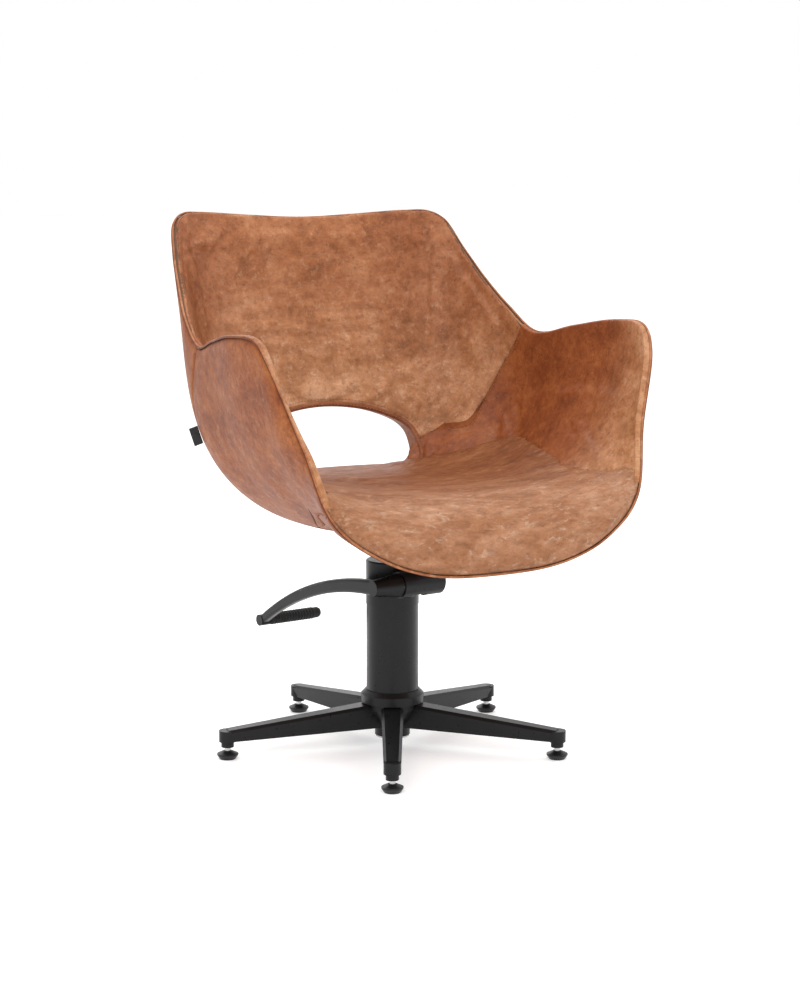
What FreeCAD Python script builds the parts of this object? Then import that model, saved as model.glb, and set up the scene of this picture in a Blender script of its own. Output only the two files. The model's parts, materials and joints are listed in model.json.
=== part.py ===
import FreeCAD, Part
import math
import os
import re
import Sketcher
from FreeCAD import Placement, Rotation, Vector

# Hydraulic styling chair: an upholstered tub on a pump column with a five-legged star base.
# Frame: millimetres, +Z up, origin on the floor under the swivel axis, the sitter faces -Y.
# Base parts are drawn with the pedal axle along X and turned by base_yaw about Z.

DIMS = {
    # star base
    "base_yaw": 6, "leg_count": 5, "glide_circle_radius": 285,
    "hub_bottom": 20, "hub_top": 77, "hub_radius": 29.5, "hub_flange_radius": 46,
    "hub_neck_height": 44, "hub_flange_bottom": 66, "spigot_radius": 20, "spigot_bottom": 36,
    "leg_root_x": 24, "leg_root_top": 77, "leg_root_bottom": 34, "leg_root_half_width": 19,
    "leg_tip_top": 49, "leg_tip_bottom": 29, "leg_tip_half_width": 14, "leg_edge_bevel": 4.5,
    "boss_radius": 10.5, "boss_bottom": 20, "glide_bore_top": 44,
    # levelling glides
    "glide_stud_radius": 5, "glide_stud_bottom": 6, "glide_stud_top": 38, "glide_foot_radius": 13,
    "glide_rim_radius": 17.5, "glide_rim_bottom": 6.5, "glide_rim_top": 9, "glide_neck_radius": 7,
    "glide_neck_top": 14, "running_gap": 0.05,
    # collar and column
    "collar_radius": 52.5, "collar_bottom": 77, "collar_top": 98, "collar_chamfer": 7,
    "column_radius": 43.5, "column_wall": 3.6, "column_top": 244, "reservoir_floor": 92,
    "cylinder_outer_radius": 22.5, "cylinder_radius": 20, "cylinder_top": 250,
    "fit_gap": 0.1, "bolt_radius": 6, "bolt_head_radius": 9.5, "bolt_head_height": 8,
    "bolt_tip": 62, "base_washer_radius": 28, "base_washer_thickness": 3,
    # pump head and its pedal axle
    "head_radius": 44.3, "head_top": 318, "head_spigot_bottom": 238, "bush_bottom": 262,
    "bush_top": 306, "bush_radius": 21, "wiper_radius": 24, "wiper_top": 312, "clip_top": 314,
    "neck_half_width": 26, "neck_half_height": 17,
    "axle_y": -60, "axle_height": 286, "axle_radius": 8, "housing_radius": 22,
    "housing_left": -31, "housing_right": 48, "axle_bush_radius": 12, "axle_bush_length": 11,
    "axle_end": 46, "axle_start": -77, "end_cap_thickness": 4,
    "crank_x": 5, "crank_width": 10, "crank_boss_radius": 12.5, "crank_throw": 30,
    "crank_tip_radius": 5, "cavity_width": 24, "cavity_front": -74, "cavity_back": -23.2,
    "cavity_top": 301, "plunger_radius": 5, "plunger_bottom": 215, "plunger_collar_bottom": 273,
    "plunger_collar_top": 276, "plunger_collar_radius": 6.5, "barrel_radius": 7,
    "barrel_bottom": 185, "barrel_floor": 188, "barrel_top": 252, "contact_gap": 0.3,
    "spring_wire_radius": 0.7, "spring_turns": 6,
    # pedal
    "pedal_left": -84, "pedal_hub_end_radius": 13, "pedal_hub_root_radius": 20,
    "pedal_hub_root": -34, "pedal_arm_width": 16, "pedal_arm_root_height": 26,
    "pedal_arm_tip_height": 18, "pedal_bow_radius": 640, "pedal_tip_y": 281,
    "pedal_tip_height": 177, "pedal_tip_radius": 10, "peg_radius": 6, "peg_end": 36,
    "rubber_radius": 10.5, "rubber_start": -65, "rubber_end": 42, "rubber_rib_pitch": 6,
    "rubber_rib_height": 0.9, "pedal_edge_round": 5, "set_screw_radius": 3,
    # ram and swivel
    "piston_bottom": 102, "piston_top": 118, "seal_bottom": 107, "seal_top": 112,
    "seal_root_radius": 16.5, "ram_radius": 18, "ram_top": 330, "ram_bore_bottom": 205,
    "spindle_radius": 12, "spindle_bottom": 210, "race_radius": 22, "race_bore": 13,
    "race_thickness": 2, "ball_radius": 2, "ball_circle_radius": 17.5, "ball_count": 12,
    "swivel_hub_radius": 30, "plate_size": 184, "plate_thickness": 6, "plate_corner": 18,
    "plate_bolt_spacing": 140, "plate_bolt_radius": 4, "plate_bolt_head_radius": 6.5,
    "plate_bolt_head_height": 5.3, "plate_washer_radius": 8, "plate_washer_thickness": 1.6,
    # tub
    "shell_bottom": 384, "bottom_half_width": 145, "bottom_half_length": 145,
    "bottom_centre_y": -10, "cover_thickness": 3, "core_inner": 12, "wall_thickness": 29,
    "rim_thickness": 15, "thinning_start": 0.5, "side_reach_low": 0.05, "side_reach_high": 0.93,
    "side_rise_high": 0.13, "flank_reach": 0.24, "flank_angle": 14.7, "flank_width": 16.8,
    "layer_gap": 0.6, "piping_radius": 2, "rim_drop": 5, "skirt_fraction": 0.2,
    "seat_board_thickness": 12, "seat_board_radius": 128,
    "cutout_half_width": 157, "cutout_bottom": 446, "cutout_top": 550, "cutout_band": 2.5,
    "seat_rear_height": 448, "seat_centre_height": 456, "seat_rear_rise": 51,
    "seat_front_rise": 26,
    "seat_half_width": 262, "seat_roll": 115, "seat_side_band": 3, "tag_height": 30, "tag_width": 15,
    "tag_thickness": 1.6,
}

# Rim of the tub, right half, from the front centre round to the top centre of the back.
RIM = {
    "lip_centre": (0, -333, 341), "lip_side": (130, -331, 351), "lip_corner": (217, -326, 386),
    "arm_foot": (280, -306, 445), "arm_front": (312, -272, 556), "arm_shoulder": (350, -240, 673),
    "arm_corner": (358, -211, 709), "arm_crest": (360, -130, 713), "arm_rear": (344, -35, 699),
    "notch": (326, 58, 684), "wing_root": (316, 126, 721), "wing_low": (302, 181, 766),
    "wing_mid": (286, 235, 822), "wing_high": (268, 274, 872), "back_corner": (243, 293, 887),
    "back_shoulder": (200, 309, 888), "back_dip": (100, 321, 882), "back_centre": (0, 324, 878),
}
RIM_NAMES = list(RIM)
LAST = len(RIM_NAMES) - 1
FRONT_SEAM = RIM_NAMES.index("arm_foot") + 0.2
BACK_SEAM = RIM_NAMES.index("notch")

doc = FreeCAD.newDocument("styling_chair")
sheet = doc.addObject("Spreadsheet::Sheet", "Dims")
PARTS = []


def fill_sheet():
    """Write every driving dimension and rim point to the sheet, each with its alias."""
    cells = dict(DIMS)
    for name, point in RIM.items():
        for letter, value in zip("xyz", point):
            cells["rim_%s_%s" % (name, letter)] = value
    for row, (alias, value) in enumerate(cells.items(), start=1):
        sheet.set("A%d" % row, alias)
        sheet.set("B%d" % row, str(value))
        sheet.setAlias("B%d" % row, alias)
    doc.recompute()


def dim(alias):
    """Value of one cell of the sheet."""
    return float(sheet.get(alias))


def bound(text):
    """Expression text in which each alias of the sheet is qualified with the sheet's name."""
    names = re.compile(r"[a-z_]{3,}")
    return names.sub(lambda found: "Dims." + found.group() if found.group() in DIMS else found.group(), text)


def value_of(text):
    """Number that an expression of aliases stands for, used as a sketch's first guess."""
    return float(sheet.evalExpression(text))


def make_body(label):
    body = doc.addObject("PartDesign::Body", label)
    body.Label = label
    PARTS.append(body)
    return body


def make_sketch(body, name, role, offset=None):
    """Sketch on one of the body's own origin planes, moved along its normal by an expression."""
    sketch = body.newObject("Sketcher::SketchObject", body.Name + "_" + name)
    plane = next(item for item in body.Origin.OriginFeatures if item.Role == role)
    sketch.AttachmentSupport = [(plane, "")]
    sketch.MapMode = "FlatFace"
    if offset:
        sketch.setExpression("AttachmentOffset.Base.z", bound(offset))
    return sketch


def polygon(sketch, points):
    """Closed outline through points whose two coordinates are expressions."""
    spots = [Vector(value_of(a), value_of(b), 0) for a, b in points]
    count = len(points)
    first = sketch.GeometryCount
    for index in range(count):
        edge = Part.LineSegment(spots[index], spots[(index + 1) % count])
        sketch.addGeometry(edge, False)
    for index in range(count):
        line, follower = first + index, first + (index + 1) % count
        sketch.addConstraint(Sketcher.Constraint("Coincident", line, 2, follower, 1))
    for index, (across, up) in enumerate(points):
        pin_point(sketch, first + index, 1, across, up)


def pin_point(sketch, geometry, end, across, up):
    """Tie one point of a sketch to two expressions measured from the sketch's origin."""
    for kind, axis, text in (("DistanceX", -2, across), ("DistanceY", -1, up)):
        number = value_of(text)
        if abs(number) < 1e-9 and text == "0":
            sketch.addConstraint(Sketcher.Constraint("PointOnObject", geometry, end, axis))
        else:
            made = sketch.addConstraint(Sketcher.Constraint(kind, -1, 1, geometry, end, number))
            sketch.setExpression("Constraints[%d]" % made, bound(text))


def circle(sketch, across, up, radius):
    """Circle whose centre and radius are expressions."""
    centre = Vector(value_of(across), value_of(up), 0)
    made = sketch.addGeometry(Part.Circle(centre, Vector(0, 0, 1), value_of(radius)), False)
    limit = sketch.addConstraint(Sketcher.Constraint("Radius", made, value_of(radius)))
    sketch.setExpression("Constraints[%d]" % limit, bound(radius))
    pin_point(sketch, made, 3, across, up)


def revolve(body, name, points, kind="PartDesign::Revolution"):
    """Turn an outline of (radius, height) expressions about the body's Z axis."""
    sketch = make_sketch(body, name, "XZ_Plane")
    polygon(sketch, points)
    turned = body.newObject(kind, body.Name + "_" + name + "_turn")
    turned.Profile = sketch
    turned.ReferenceAxis = (sketch, ["V_Axis"])
    turned.Angle = 360
    return turned


def turned_body(label, points):
    """Body of revolution about Z from (radius, height) expressions."""
    body = make_body(label)
    revolve(body, "outline", points)
    return body


def pad(body, name, sketch, length, reverse=False):
    feature = body.newObject("PartDesign::Pad", body.Name + "_" + name)
    feature.Profile = sketch
    feature.setExpression("Length", bound(length))
    feature.Reversed = reverse
    return feature


def pocket(body, name, sketch, length, reverse=False):
    """Pocket that must take material away."""
    before = body.Shape.Volume
    feature = body.newObject("PartDesign::Pocket", body.Name + "_" + name)
    feature.Profile = sketch
    feature.setExpression("Length", bound(length))
    feature.Reversed = reverse
    doc.recompute()
    if not feature.Shape.Volume < before - 1:
        raise ValueError(body.Label + " " + name + " cuts nothing")
    return feature


def place(body, x="0", y="0", z="0", turn=None):
    """Put a sub-part at base-frame coordinates, with the base's yaw applied to all of it."""
    yaw = Rotation(Vector(0, 0, 1), dim("base_yaw"))
    spot = Vector(value_of(x), value_of(y), value_of(z))
    body.Placement = Placement(yaw.multVec(spot), yaw.multiply(turn or Rotation()))


ALONG_X = Rotation(Vector(0, 1, 0), 90)


def feature(label, shape, yaw=False):
    """Sub-part whose shape comes from Part's own functions."""
    item = doc.addObject("Part::Feature", label)
    item.Label = label
    item.Shape = shape
    if yaw:
        turn = Placement(Vector(0, 0, 0), Rotation(Vector(0, 0, 1), dim("base_yaw")))
        item.Placement = turn.multiply(item.Placement)
    PARTS.append(item)
    return item


# ---------------------------------------------------------------- star base and glides

def leg_section(body, name, offset, half_width, low, high):
    """Bevelled leg section across the leg's length."""
    sketch = make_sketch(body, name, "YZ_Plane", offset)
    inner = half_width + " - leg_edge_bevel"
    points = [
        ("-(%s) * 0.7" % half_width, low), ("(%s) * 0.7" % half_width, low),
        (half_width, "(%s) - leg_edge_bevel" % high), (inner, high),
        ("-(%s)" % inner, high), ("-(%s)" % half_width, "(%s) - leg_edge_bevel" % high),
    ]
    polygon(sketch, points)
    return sketch


def star_base():
    body = make_body("star_base")
    root = leg_section(body, "root", "leg_root_x", "leg_root_half_width",
                       "leg_root_bottom", "leg_root_top")
    tip = leg_section(body, "tip", "glide_circle_radius", "leg_tip_half_width",
                      "leg_tip_bottom", "leg_tip_top")
    leg = body.newObject("PartDesign::AdditiveLoft", "star_leg")
    leg.Profile = root
    leg.Sections = [tip]
    leg.Ruled = True
    cap_sketch = make_sketch(body, "cap", "XY_Plane", "leg_tip_bottom")
    circle(cap_sketch, "glide_circle_radius", "0", "leg_tip_half_width")
    cap = pad(body, "cap_pad", cap_sketch, "leg_tip_top - leg_tip_bottom - 1.2")
    boss_sketch = make_sketch(body, "boss", "XY_Plane", "boss_bottom")
    circle(boss_sketch, "glide_circle_radius", "0", "boss_radius")
    boss = pad(body, "boss_pad", boss_sketch, "leg_tip_bottom - boss_bottom + 6")
    doc.recompute()
    pattern = body.newObject("PartDesign::PolarPattern", "star_legs")
    pattern.Originals = [leg, cap, boss]
    axis = next(item for item in body.Origin.OriginFeatures if item.Role == "Z_Axis")
    pattern.Axis = (axis, [""])
    pattern.Angle = 360
    pattern.setExpression("Occurrences", bound("leg_count"))
    body.Tip = pattern
    doc.recompute()
    revolve(body, "hub", [
        ("spigot_radius - 2", "hub_bottom"), ("hub_radius", "hub_bottom"),
        ("hub_radius", "hub_neck_height"), ("hub_flange_radius", "hub_flange_bottom"),
        ("hub_flange_radius", "hub_top"), ("spigot_radius - 2", "hub_top")])
    doc.recompute()
    bore_sketch = make_sketch(body, "bore", "XY_Plane", "hub_top")
    circle(bore_sketch, "0", "0", "spigot_radius + fit_gap")
    pocket(body, "bore_cut", bore_sketch, "hub_top - hub_bottom")
    glide_sketch = make_sketch(body, "glide_bore", "XY_Plane", "glide_bore_top")
    circle(glide_sketch, "glide_circle_radius", "0", "glide_stud_radius + running_gap")
    drilled = pocket(body, "glide_bore_cut", glide_sketch, "glide_bore_top - boss_bottom")
    bores = body.newObject("PartDesign::PolarPattern", "glide_bores")
    bores.Originals = [drilled]
    bores.Axis = (axis, [""])
    bores.Angle = 360
    bores.setExpression("Occurrences", bound("leg_count"))
    body.Tip = bores
    place(body, turn=Rotation(Vector(0, 0, 1), 90))


def glides():
    """Levelling feet: a foot disc under each leg tip on its own threaded stud."""
    for index in range(int(dim("leg_count"))):
        angle = math.radians(90 + index * 360 / dim("leg_count"))
        x = dim("glide_circle_radius") * math.cos(angle)
        y = dim("glide_circle_radius") * math.sin(angle)
        stud = turned_body("glide_stud_%d" % (index + 1), [
            ("0", "glide_stud_bottom"), ("glide_stud_radius", "glide_stud_bottom"),
            ("glide_stud_radius", "glide_stud_top - 1"), ("glide_stud_radius - 1", "glide_stud_top"),
            ("0", "glide_stud_top")])
        foot = turned_body("glide_foot_%d" % (index + 1), [
            ("0", "0"), ("glide_foot_radius", "0"), ("glide_rim_radius", "glide_rim_bottom"),
            ("glide_rim_radius", "glide_rim_top"), ("glide_neck_radius", "glide_neck_top"),
            ("glide_stud_radius", "glide_neck_top"), ("glide_stud_radius", "glide_stud_bottom"),
            ("0", "glide_stud_bottom")])
        for item in (stud, foot):
            place(item, "%.6f" % x, "%.6f" % y)


# ---------------------------------------------------------------- column and pump

def column():
    """Collar, reservoir tube with its floor, inner cylinder and the bolt that holds them down."""
    turned_body("base_collar", [
        ("column_radius + fit_gap", "collar_bottom"), ("collar_radius", "collar_bottom"),
        ("collar_radius", "collar_top - collar_chamfer"),
        ("collar_radius - collar_chamfer", "collar_top"),
        ("column_radius + fit_gap", "collar_top")])
    turned_body("reservoir_tube", [
        ("column_radius - column_wall", "hub_top"), ("column_radius", "hub_top"),
        ("column_radius", "column_top"), ("column_radius - column_wall", "column_top")])
    turned_body("reservoir_floor", [
        ("bolt_radius + fit_gap", "spigot_bottom"), ("spigot_radius", "spigot_bottom"),
        ("spigot_radius", "hub_top"), ("column_radius - column_wall - fit_gap", "hub_top"),
        ("column_radius - column_wall - fit_gap", "reservoir_floor"), ("0", "reservoir_floor"),
        ("0", "bolt_tip + 4"), ("bolt_radius + fit_gap", "bolt_tip + 4")])
    turned_body("inner_cylinder", [
        ("cylinder_radius", "reservoir_floor"), ("cylinder_outer_radius", "reservoir_floor"),
        ("cylinder_outer_radius", "cylinder_top"), ("cylinder_radius", "cylinder_top")])
    turned_body("base_washer", [
        ("bolt_radius + fit_gap", "hub_bottom - base_washer_thickness"),
        ("base_washer_radius", "hub_bottom - base_washer_thickness"),
        ("base_washer_radius", "hub_bottom"), ("bolt_radius + fit_gap", "hub_bottom")])
    hex_bolt("base_bolt", "hub_bottom - base_washer_thickness")


def hex_bolt(label, seat):
    """Upright bolt with its hexagon head below the seat face."""
    body = make_body(label)
    head = make_sketch(body, "head", "XY_Plane", seat + " - bolt_head_height")
    corners = [60 * step for step in range(6)]
    polygon(head, [("bolt_head_radius * cos(%d deg)" % a, "bolt_head_radius * sin(%d deg)" % a)
                   for a in (corner + 15 for corner in corners)])
    pad(body, "head_pad", head, "bolt_head_height")
    shank = make_sketch(body, "shank", "XY_Plane", seat)
    circle(shank, "0", "0", "bolt_radius")
    pad(body, "shank_pad", shank, "bolt_tip - (%s)" % seat)


def pump_head():
    """Head casting: closes the column, guides the ram and carries the pedal axle."""
    body = make_body("pump_head")
    inner = "column_radius - column_wall - fit_gap"
    revolve(body, "casting", [
        ("cylinder_outer_radius + fit_gap", "head_spigot_bottom"), (inner, "head_spigot_bottom"),
        (inner, "column_top"), ("head_radius", "column_top"), ("head_radius", "head_top - 2"),
        ("head_radius - 2", "head_top"), ("wiper_radius + fit_gap", "head_top"),
        ("wiper_radius + fit_gap", "bush_top"), ("bush_radius + fit_gap", "bush_top"),
        ("bush_radius + fit_gap", "bush_bottom"), ("ram_radius + 0.8", "bush_bottom"),
        ("ram_radius + 0.8", "cylinder_top"), ("cylinder_outer_radius + fit_gap", "cylinder_top")])
    neck = make_sketch(body, "neck", "XZ_Plane", "wiper_radius + 1")
    low, high = "axle_height - neck_half_height", "axle_height + neck_half_height"
    polygon(neck, [("-neck_half_width", low), ("neck_half_width", low),
                   ("neck_half_width", high), ("-neck_half_width", high)])
    pad(body, "neck_pad", neck, "-axle_y - wiper_radius - 1")
    housing = make_sketch(body, "housing", "YZ_Plane", "housing_left")
    circle(housing, "axle_y", "axle_height", "housing_radius")
    pad(body, "housing_pad", housing, "housing_right - housing_left")
    doc.recompute()
    axle = make_sketch(body, "axle_way", "YZ_Plane", "housing_right")
    circle(axle, "axle_y", "axle_height", "axle_bush_radius + fit_gap")
    pocket(body, "axle_way_cut", axle, "housing_right - housing_left")
    cavity = make_sketch(body, "cavity", "XY_Plane", "cavity_top")
    left, right = "crank_x - cavity_width / 2", "crank_x + cavity_width / 2"
    polygon(cavity, [(left, "cavity_front"), (right, "cavity_front"),
                     (right, "cavity_back"), (left, "cavity_back")])
    pocket(body, "cavity_cut", cavity, "cavity_top - bush_bottom")
    drill = make_sketch(body, "barrel_way", "XY_Plane", "bush_bottom + 1")
    circle(drill, "crank_x", "axle_y + crank_throw", "barrel_radius + fit_gap")
    pocket(body, "barrel_way_cut", drill, "bush_bottom + 1 - head_spigot_bottom")
    place(body)


def ram_guides():
    """Guide bush, wiper and clip between the head and the ram."""
    gap = "ram_radius + running_gap"
    turned_body("guide_bush", [
        (gap, "bush_bottom"), ("bush_radius", "bush_bottom"), ("bush_radius", "bush_top"),
        (gap, "bush_top")])
    turned_body("wiper_seal", [
        (gap, "bush_top"), ("wiper_radius", "bush_top"), ("wiper_radius", "wiper_top"),
        ("ram_radius + 2", "wiper_top"), (gap, "wiper_top - 2")])
    turned_body("retaining_clip", [
        ("ram_radius + 2.5", "wiper_top"), ("wiper_radius", "wiper_top"),
        ("wiper_radius", "clip_top"), ("ram_radius + 2.5", "clip_top")])


def axle_bushes():
    """The two bearings of the pedal axle and the cap at the housing's far end."""
    cavity_left = "crank_x - cavity_width / 2"
    cavity_right = "crank_x + cavity_width / 2"
    starts = {"axle_bush_left": cavity_left + " - axle_bush_length",
              "axle_bush_right": cavity_right}
    for label, start in starts.items():
        bush = turned_body(label, [
            ("axle_radius + running_gap", "0"), ("axle_bush_radius", "0"),
            ("axle_bush_radius", "axle_bush_length"), ("axle_radius + running_gap", "axle_bush_length")])
        place(bush, start, "axle_y", "axle_height", ALONG_X)
    cap = turned_body("axle_end_cap", [
        ("0", "0"), ("housing_radius", "0"), ("housing_radius", "end_cap_thickness - 2.5"),
        ("housing_radius - 2.5", "end_cap_thickness"), ("0", "end_cap_thickness")])
    place(cap, "housing_right", "axle_y", "axle_height", ALONG_X)


def pump_unit():
    """Plunger pump below the crank: barrel, plunger and return spring."""
    spot = ("crank_x", "axle_y + crank_throw")
    barrel = turned_body("pump_barrel", [
        ("0", "barrel_bottom"), ("barrel_radius", "barrel_bottom"), ("barrel_radius", "barrel_top"),
        ("plunger_radius + running_gap", "barrel_top"),
        ("plunger_radius + running_gap", "barrel_floor"), ("0", "barrel_floor")])
    place(barrel, *spot)
    crown = "axle_height - crank_tip_radius - contact_gap"
    plunger = turned_body("plunger", [
        ("0", "plunger_bottom"), ("plunger_radius", "plunger_bottom"),
        ("plunger_radius", "plunger_collar_bottom"),
        ("plunger_collar_radius", "plunger_collar_bottom"),
        ("plunger_collar_radius", "plunger_collar_top"), ("plunger_radius", "plunger_collar_top"),
        ("plunger_radius", crown), ("0", crown)])
    place(plunger, *spot)
    wire = dim("spring_wire_radius")
    low = dim("barrel_top") + wire + 0.1
    height = dim("plunger_collar_bottom") - wire - 0.1 - low
    coil_radius = dim("plunger_radius") + wire + 0.25
    helix = Part.makeHelix(height / dim("spring_turns"), height, coil_radius)
    section = Part.Wire(Part.Circle(Vector(coil_radius, 0, 0), Vector(0, 1, 0), wire).toShape())
    spring = Part.Wire(helix).makePipeShell([section], True, True)
    spring.translate(Vector(dim("crank_x"), dim("axle_y") + dim("crank_throw"), low))
    feature("plunger_spring", spring, yaw=True)


# ---------------------------------------------------------------- pedal

def pedal():
    """Axle, crank, bowed arm, peg and its rubber sleeve, all turning about the axle."""
    axle = turned_body("pedal_axle", [
        ("0", "axle_start"), ("axle_radius", "axle_start"), ("axle_radius", "axle_end - 1"),
        ("axle_radius - 1", "axle_end"), ("0", "axle_end")])
    place(axle, "0", "axle_y", "axle_height", ALONG_X)
    washer = turned_body("axle_washer", [
        ("axle_radius + running_gap", "pedal_hub_root + 0.3"),
        ("housing_radius - 5", "pedal_hub_root + 0.3"),
        ("housing_radius - 5", "housing_left - contact_gap"),
        ("axle_radius + running_gap", "housing_left - contact_gap")])
    place(washer, "0", "axle_y", "axle_height", ALONG_X)
    crank()
    pedal_arm()
    rod = turned_body("pedal_peg", [
        ("0", "pedal_left + 4"), ("peg_radius", "pedal_left + 4"), ("peg_radius", "peg_end"),
        ("0", "peg_end")])
    place(rod, "0", "pedal_tip_y", "pedal_tip_height", ALONG_X)
    rubber = turned_body("pedal_rubber", rubber_outline())
    place(rubber, "0", "pedal_tip_y", "pedal_tip_height", ALONG_X)
    screw = turned_body("pedal_set_screw", [
        ("0", "axle_radius + 0.1"), ("set_screw_radius", "axle_radius + 0.1"),
        ("set_screw_radius", "pedal_hub_end_radius + 2"), ("0", "pedal_hub_end_radius + 2")])
    place(screw, "(pedal_left + pedal_hub_root) / 2 + 8", "axle_y", "axle_height",
          Rotation(Vector(1, 0, 0), 180))


def rubber_outline():
    """Sleeve outline with raised ribs spaced along its length and a rounded closed end."""
    ribs = int((dim("rubber_end") - dim("rubber_start") - 12) / dim("rubber_rib_pitch"))
    points = [("peg_radius + fit_gap", "rubber_start"), ("rubber_radius - 1", "rubber_start")]
    for rib in range(ribs):
        start = "rubber_start + 3 + %d * rubber_rib_pitch" % rib
        points += [
            ("rubber_radius - rubber_rib_height", start),
            ("rubber_radius", start + " + rubber_rib_pitch * 0.25"),
            ("rubber_radius", start + " + rubber_rib_pitch * 0.6"),
            ("rubber_radius - rubber_rib_height", start + " + rubber_rib_pitch * 0.85")]
    points += [
        ("rubber_radius - rubber_rib_height", "rubber_end - 5"), ("rubber_radius - 3", "rubber_end - 1"),
        ("rubber_radius - 6", "rubber_end"), ("0", "rubber_end"), ("0", "peg_end + fit_gap"),
        ("peg_radius + fit_gap", "peg_end + fit_gap")]
    return points


def crank():
    """Crank keyed on the axle inside the head, whose rounded tip presses the plunger."""
    body = make_body("pump_crank")
    start = "crank_x - crank_width / 2"
    boss = make_sketch(body, "boss", "YZ_Plane", start)
    circle(boss, "0", "0", "crank_boss_radius")
    pad(body, "boss_pad", boss, "crank_width")
    web = make_sketch(body, "web", "YZ_Plane", start)
    half = "crank_tip_radius"
    polygon(web, [("0", "-" + half), ("crank_throw", "-" + half), ("crank_throw", half), ("0", half)])
    pad(body, "web_pad", web, "crank_width")
    tip = make_sketch(body, "tip", "YZ_Plane", start)
    circle(tip, "crank_throw", "0", "crank_tip_radius")
    pad(body, "tip_pad", tip, "crank_width")
    doc.recompute()
    bore = make_sketch(body, "bore", "YZ_Plane", start + " + crank_width")
    circle(bore, "0", "0", "axle_radius + fit_gap / 2")
    pocket(body, "bore_cut", bore, "crank_width")
    place(body, "0", "axle_y", "axle_height")


def bow(start, end, radius):
    """Circular arc between two points of the YZ plane, bowed upwards."""
    chord = end - start
    half = chord.Length / 2
    side = Vector(0, -chord.z, chord.y).normalize()
    rise = radius - math.sqrt(radius ** 2 - half ** 2)
    return Part.Arc(start, (start + end) * 0.5 + side * rise, end).toShape()


def pedal_arm():
    """Forged arm: tapered hub on the axle, bowed blade and an eye that holds the peg."""
    left, width = dim("pedal_left"), dim("pedal_arm_width")
    centre = Vector(left, dim("axle_y"), dim("axle_height"))
    tip = Vector(left, dim("pedal_tip_y"), dim("pedal_tip_height"))
    along_x = Vector(1, 0, 0)
    root_up = Vector(0, 0, dim("pedal_arm_root_height") / 2 - 0.5)
    tip_up = Vector(0, 0, dim("pedal_arm_tip_height") / 2)
    radius = dim("pedal_bow_radius")
    upper = bow(centre + root_up, tip + tip_up, radius)
    lower = bow(centre - root_up, tip - tip_up, radius)
    ends = [Part.LineSegment(centre + root_up, centre - root_up).toShape(),
            Part.LineSegment(tip + tip_up, tip - tip_up).toShape()]
    outline = Part.Wire(Part.__sortEdges__([upper, ends[1], lower, ends[0]]))
    blade = Part.Face(outline).extrude(along_x * width)
    long_edges = [edge for edge in blade.Edges
                  if edge.Length > 200 and isinstance(edge.Curve, Part.Circle)]
    blade = blade.makeFillet(dim("pedal_edge_round"), long_edges)
    hub_length = dim("pedal_hub_root") - left
    hub = Part.makeCone(dim("pedal_hub_end_radius"), dim("pedal_hub_root_radius"), hub_length,
                        centre, along_x)
    eye = Part.makeCylinder(dim("pedal_tip_radius"), width + 2, tip - along_x, along_x)
    arm = blade.fuse([hub, eye]).removeSplitter()
    bore = Part.makeCylinder(dim("axle_radius") + dim("fit_gap") / 2,
                             dim("pedal_hub_root") - dim("axle_start") + 1,
                             Vector(dim("axle_start") - 0.2, centre.y, centre.z), along_x)
    peg_way = Part.makeCylinder(dim("peg_radius") + dim("fit_gap") / 2, width + 2,
                                tip + along_x * 3.9, along_x)
    screw_x = (left + dim("pedal_hub_root")) / 2 + 8
    screw_way = Part.makeCylinder(dim("set_screw_radius") + dim("fit_gap") / 2, 40,
                                  Vector(screw_x, centre.y, centre.z - 40), Vector(0, 0, 1))
    feature("pedal_arm", arm.cut([bore, peg_way, screw_way]), yaw=True)


# ---------------------------------------------------------------- ram and swivel

def ram():
    bore = "spindle_radius + running_gap"
    piston = "cylinder_radius - running_gap"
    turned_body("ram", [
        ("0", "piston_bottom"), (piston, "piston_bottom"), (piston, "seal_bottom"),
        ("seal_root_radius", "seal_bottom"), ("seal_root_radius", "seal_top"),
        (piston, "seal_top"), (piston, "piston_top"), ("ram_radius", "piston_top"),
        ("ram_radius", "ram_top"), (bore, "ram_top"), (bore, "ram_bore_bottom"),
        ("0", "ram_bore_bottom")])
    turned_body("piston_seal", [
        ("seal_root_radius", "seal_bottom"), (piston, "seal_bottom"), (piston, "seal_top"),
        ("seal_root_radius", "seal_top")])


def thrust_bearing():
    """Ball thrust bearing between the ram's end and the swivel hub."""
    turned_body("thrust_race_lower", [
        ("race_bore", "ram_top"), ("race_radius", "ram_top"),
        ("race_radius", "ram_top + race_thickness"), ("race_bore", "ram_top + race_thickness")])
    base = "ram_top + race_thickness + 2 * ball_radius + fit_gap"
    turned_body("thrust_race_upper", [
        ("race_bore", base), ("race_radius", base), ("race_radius", base + " + race_thickness"),
        ("race_bore", base + " + race_thickness")])
    middle = dim("ram_top") + dim("race_thickness") + dim("ball_radius")
    circle_radius, count = dim("ball_circle_radius"), int(dim("ball_count"))
    balls = []
    for index in range(count):
        angle = math.radians(index * 360 / count)
        spot = Vector(circle_radius * math.cos(angle), circle_radius * math.sin(angle), middle)
        balls.append(Part.makeSphere(dim("ball_radius"), spot))
    feature("thrust_balls", Part.makeCompound(balls))
    cage_low = Vector(0, 0, middle - 1)
    ring = Part.makeCylinder(dim("race_radius") - 0.5, 2, cage_low)
    ring = ring.cut(Part.makeCylinder(dim("race_bore") + 0.5, 2, cage_low))
    pockets = [Part.makeSphere(dim("ball_radius") + dim("fit_gap"), ball.CenterOfMass) for ball in balls]
    feature("thrust_cage", ring.cut(pockets))


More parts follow.
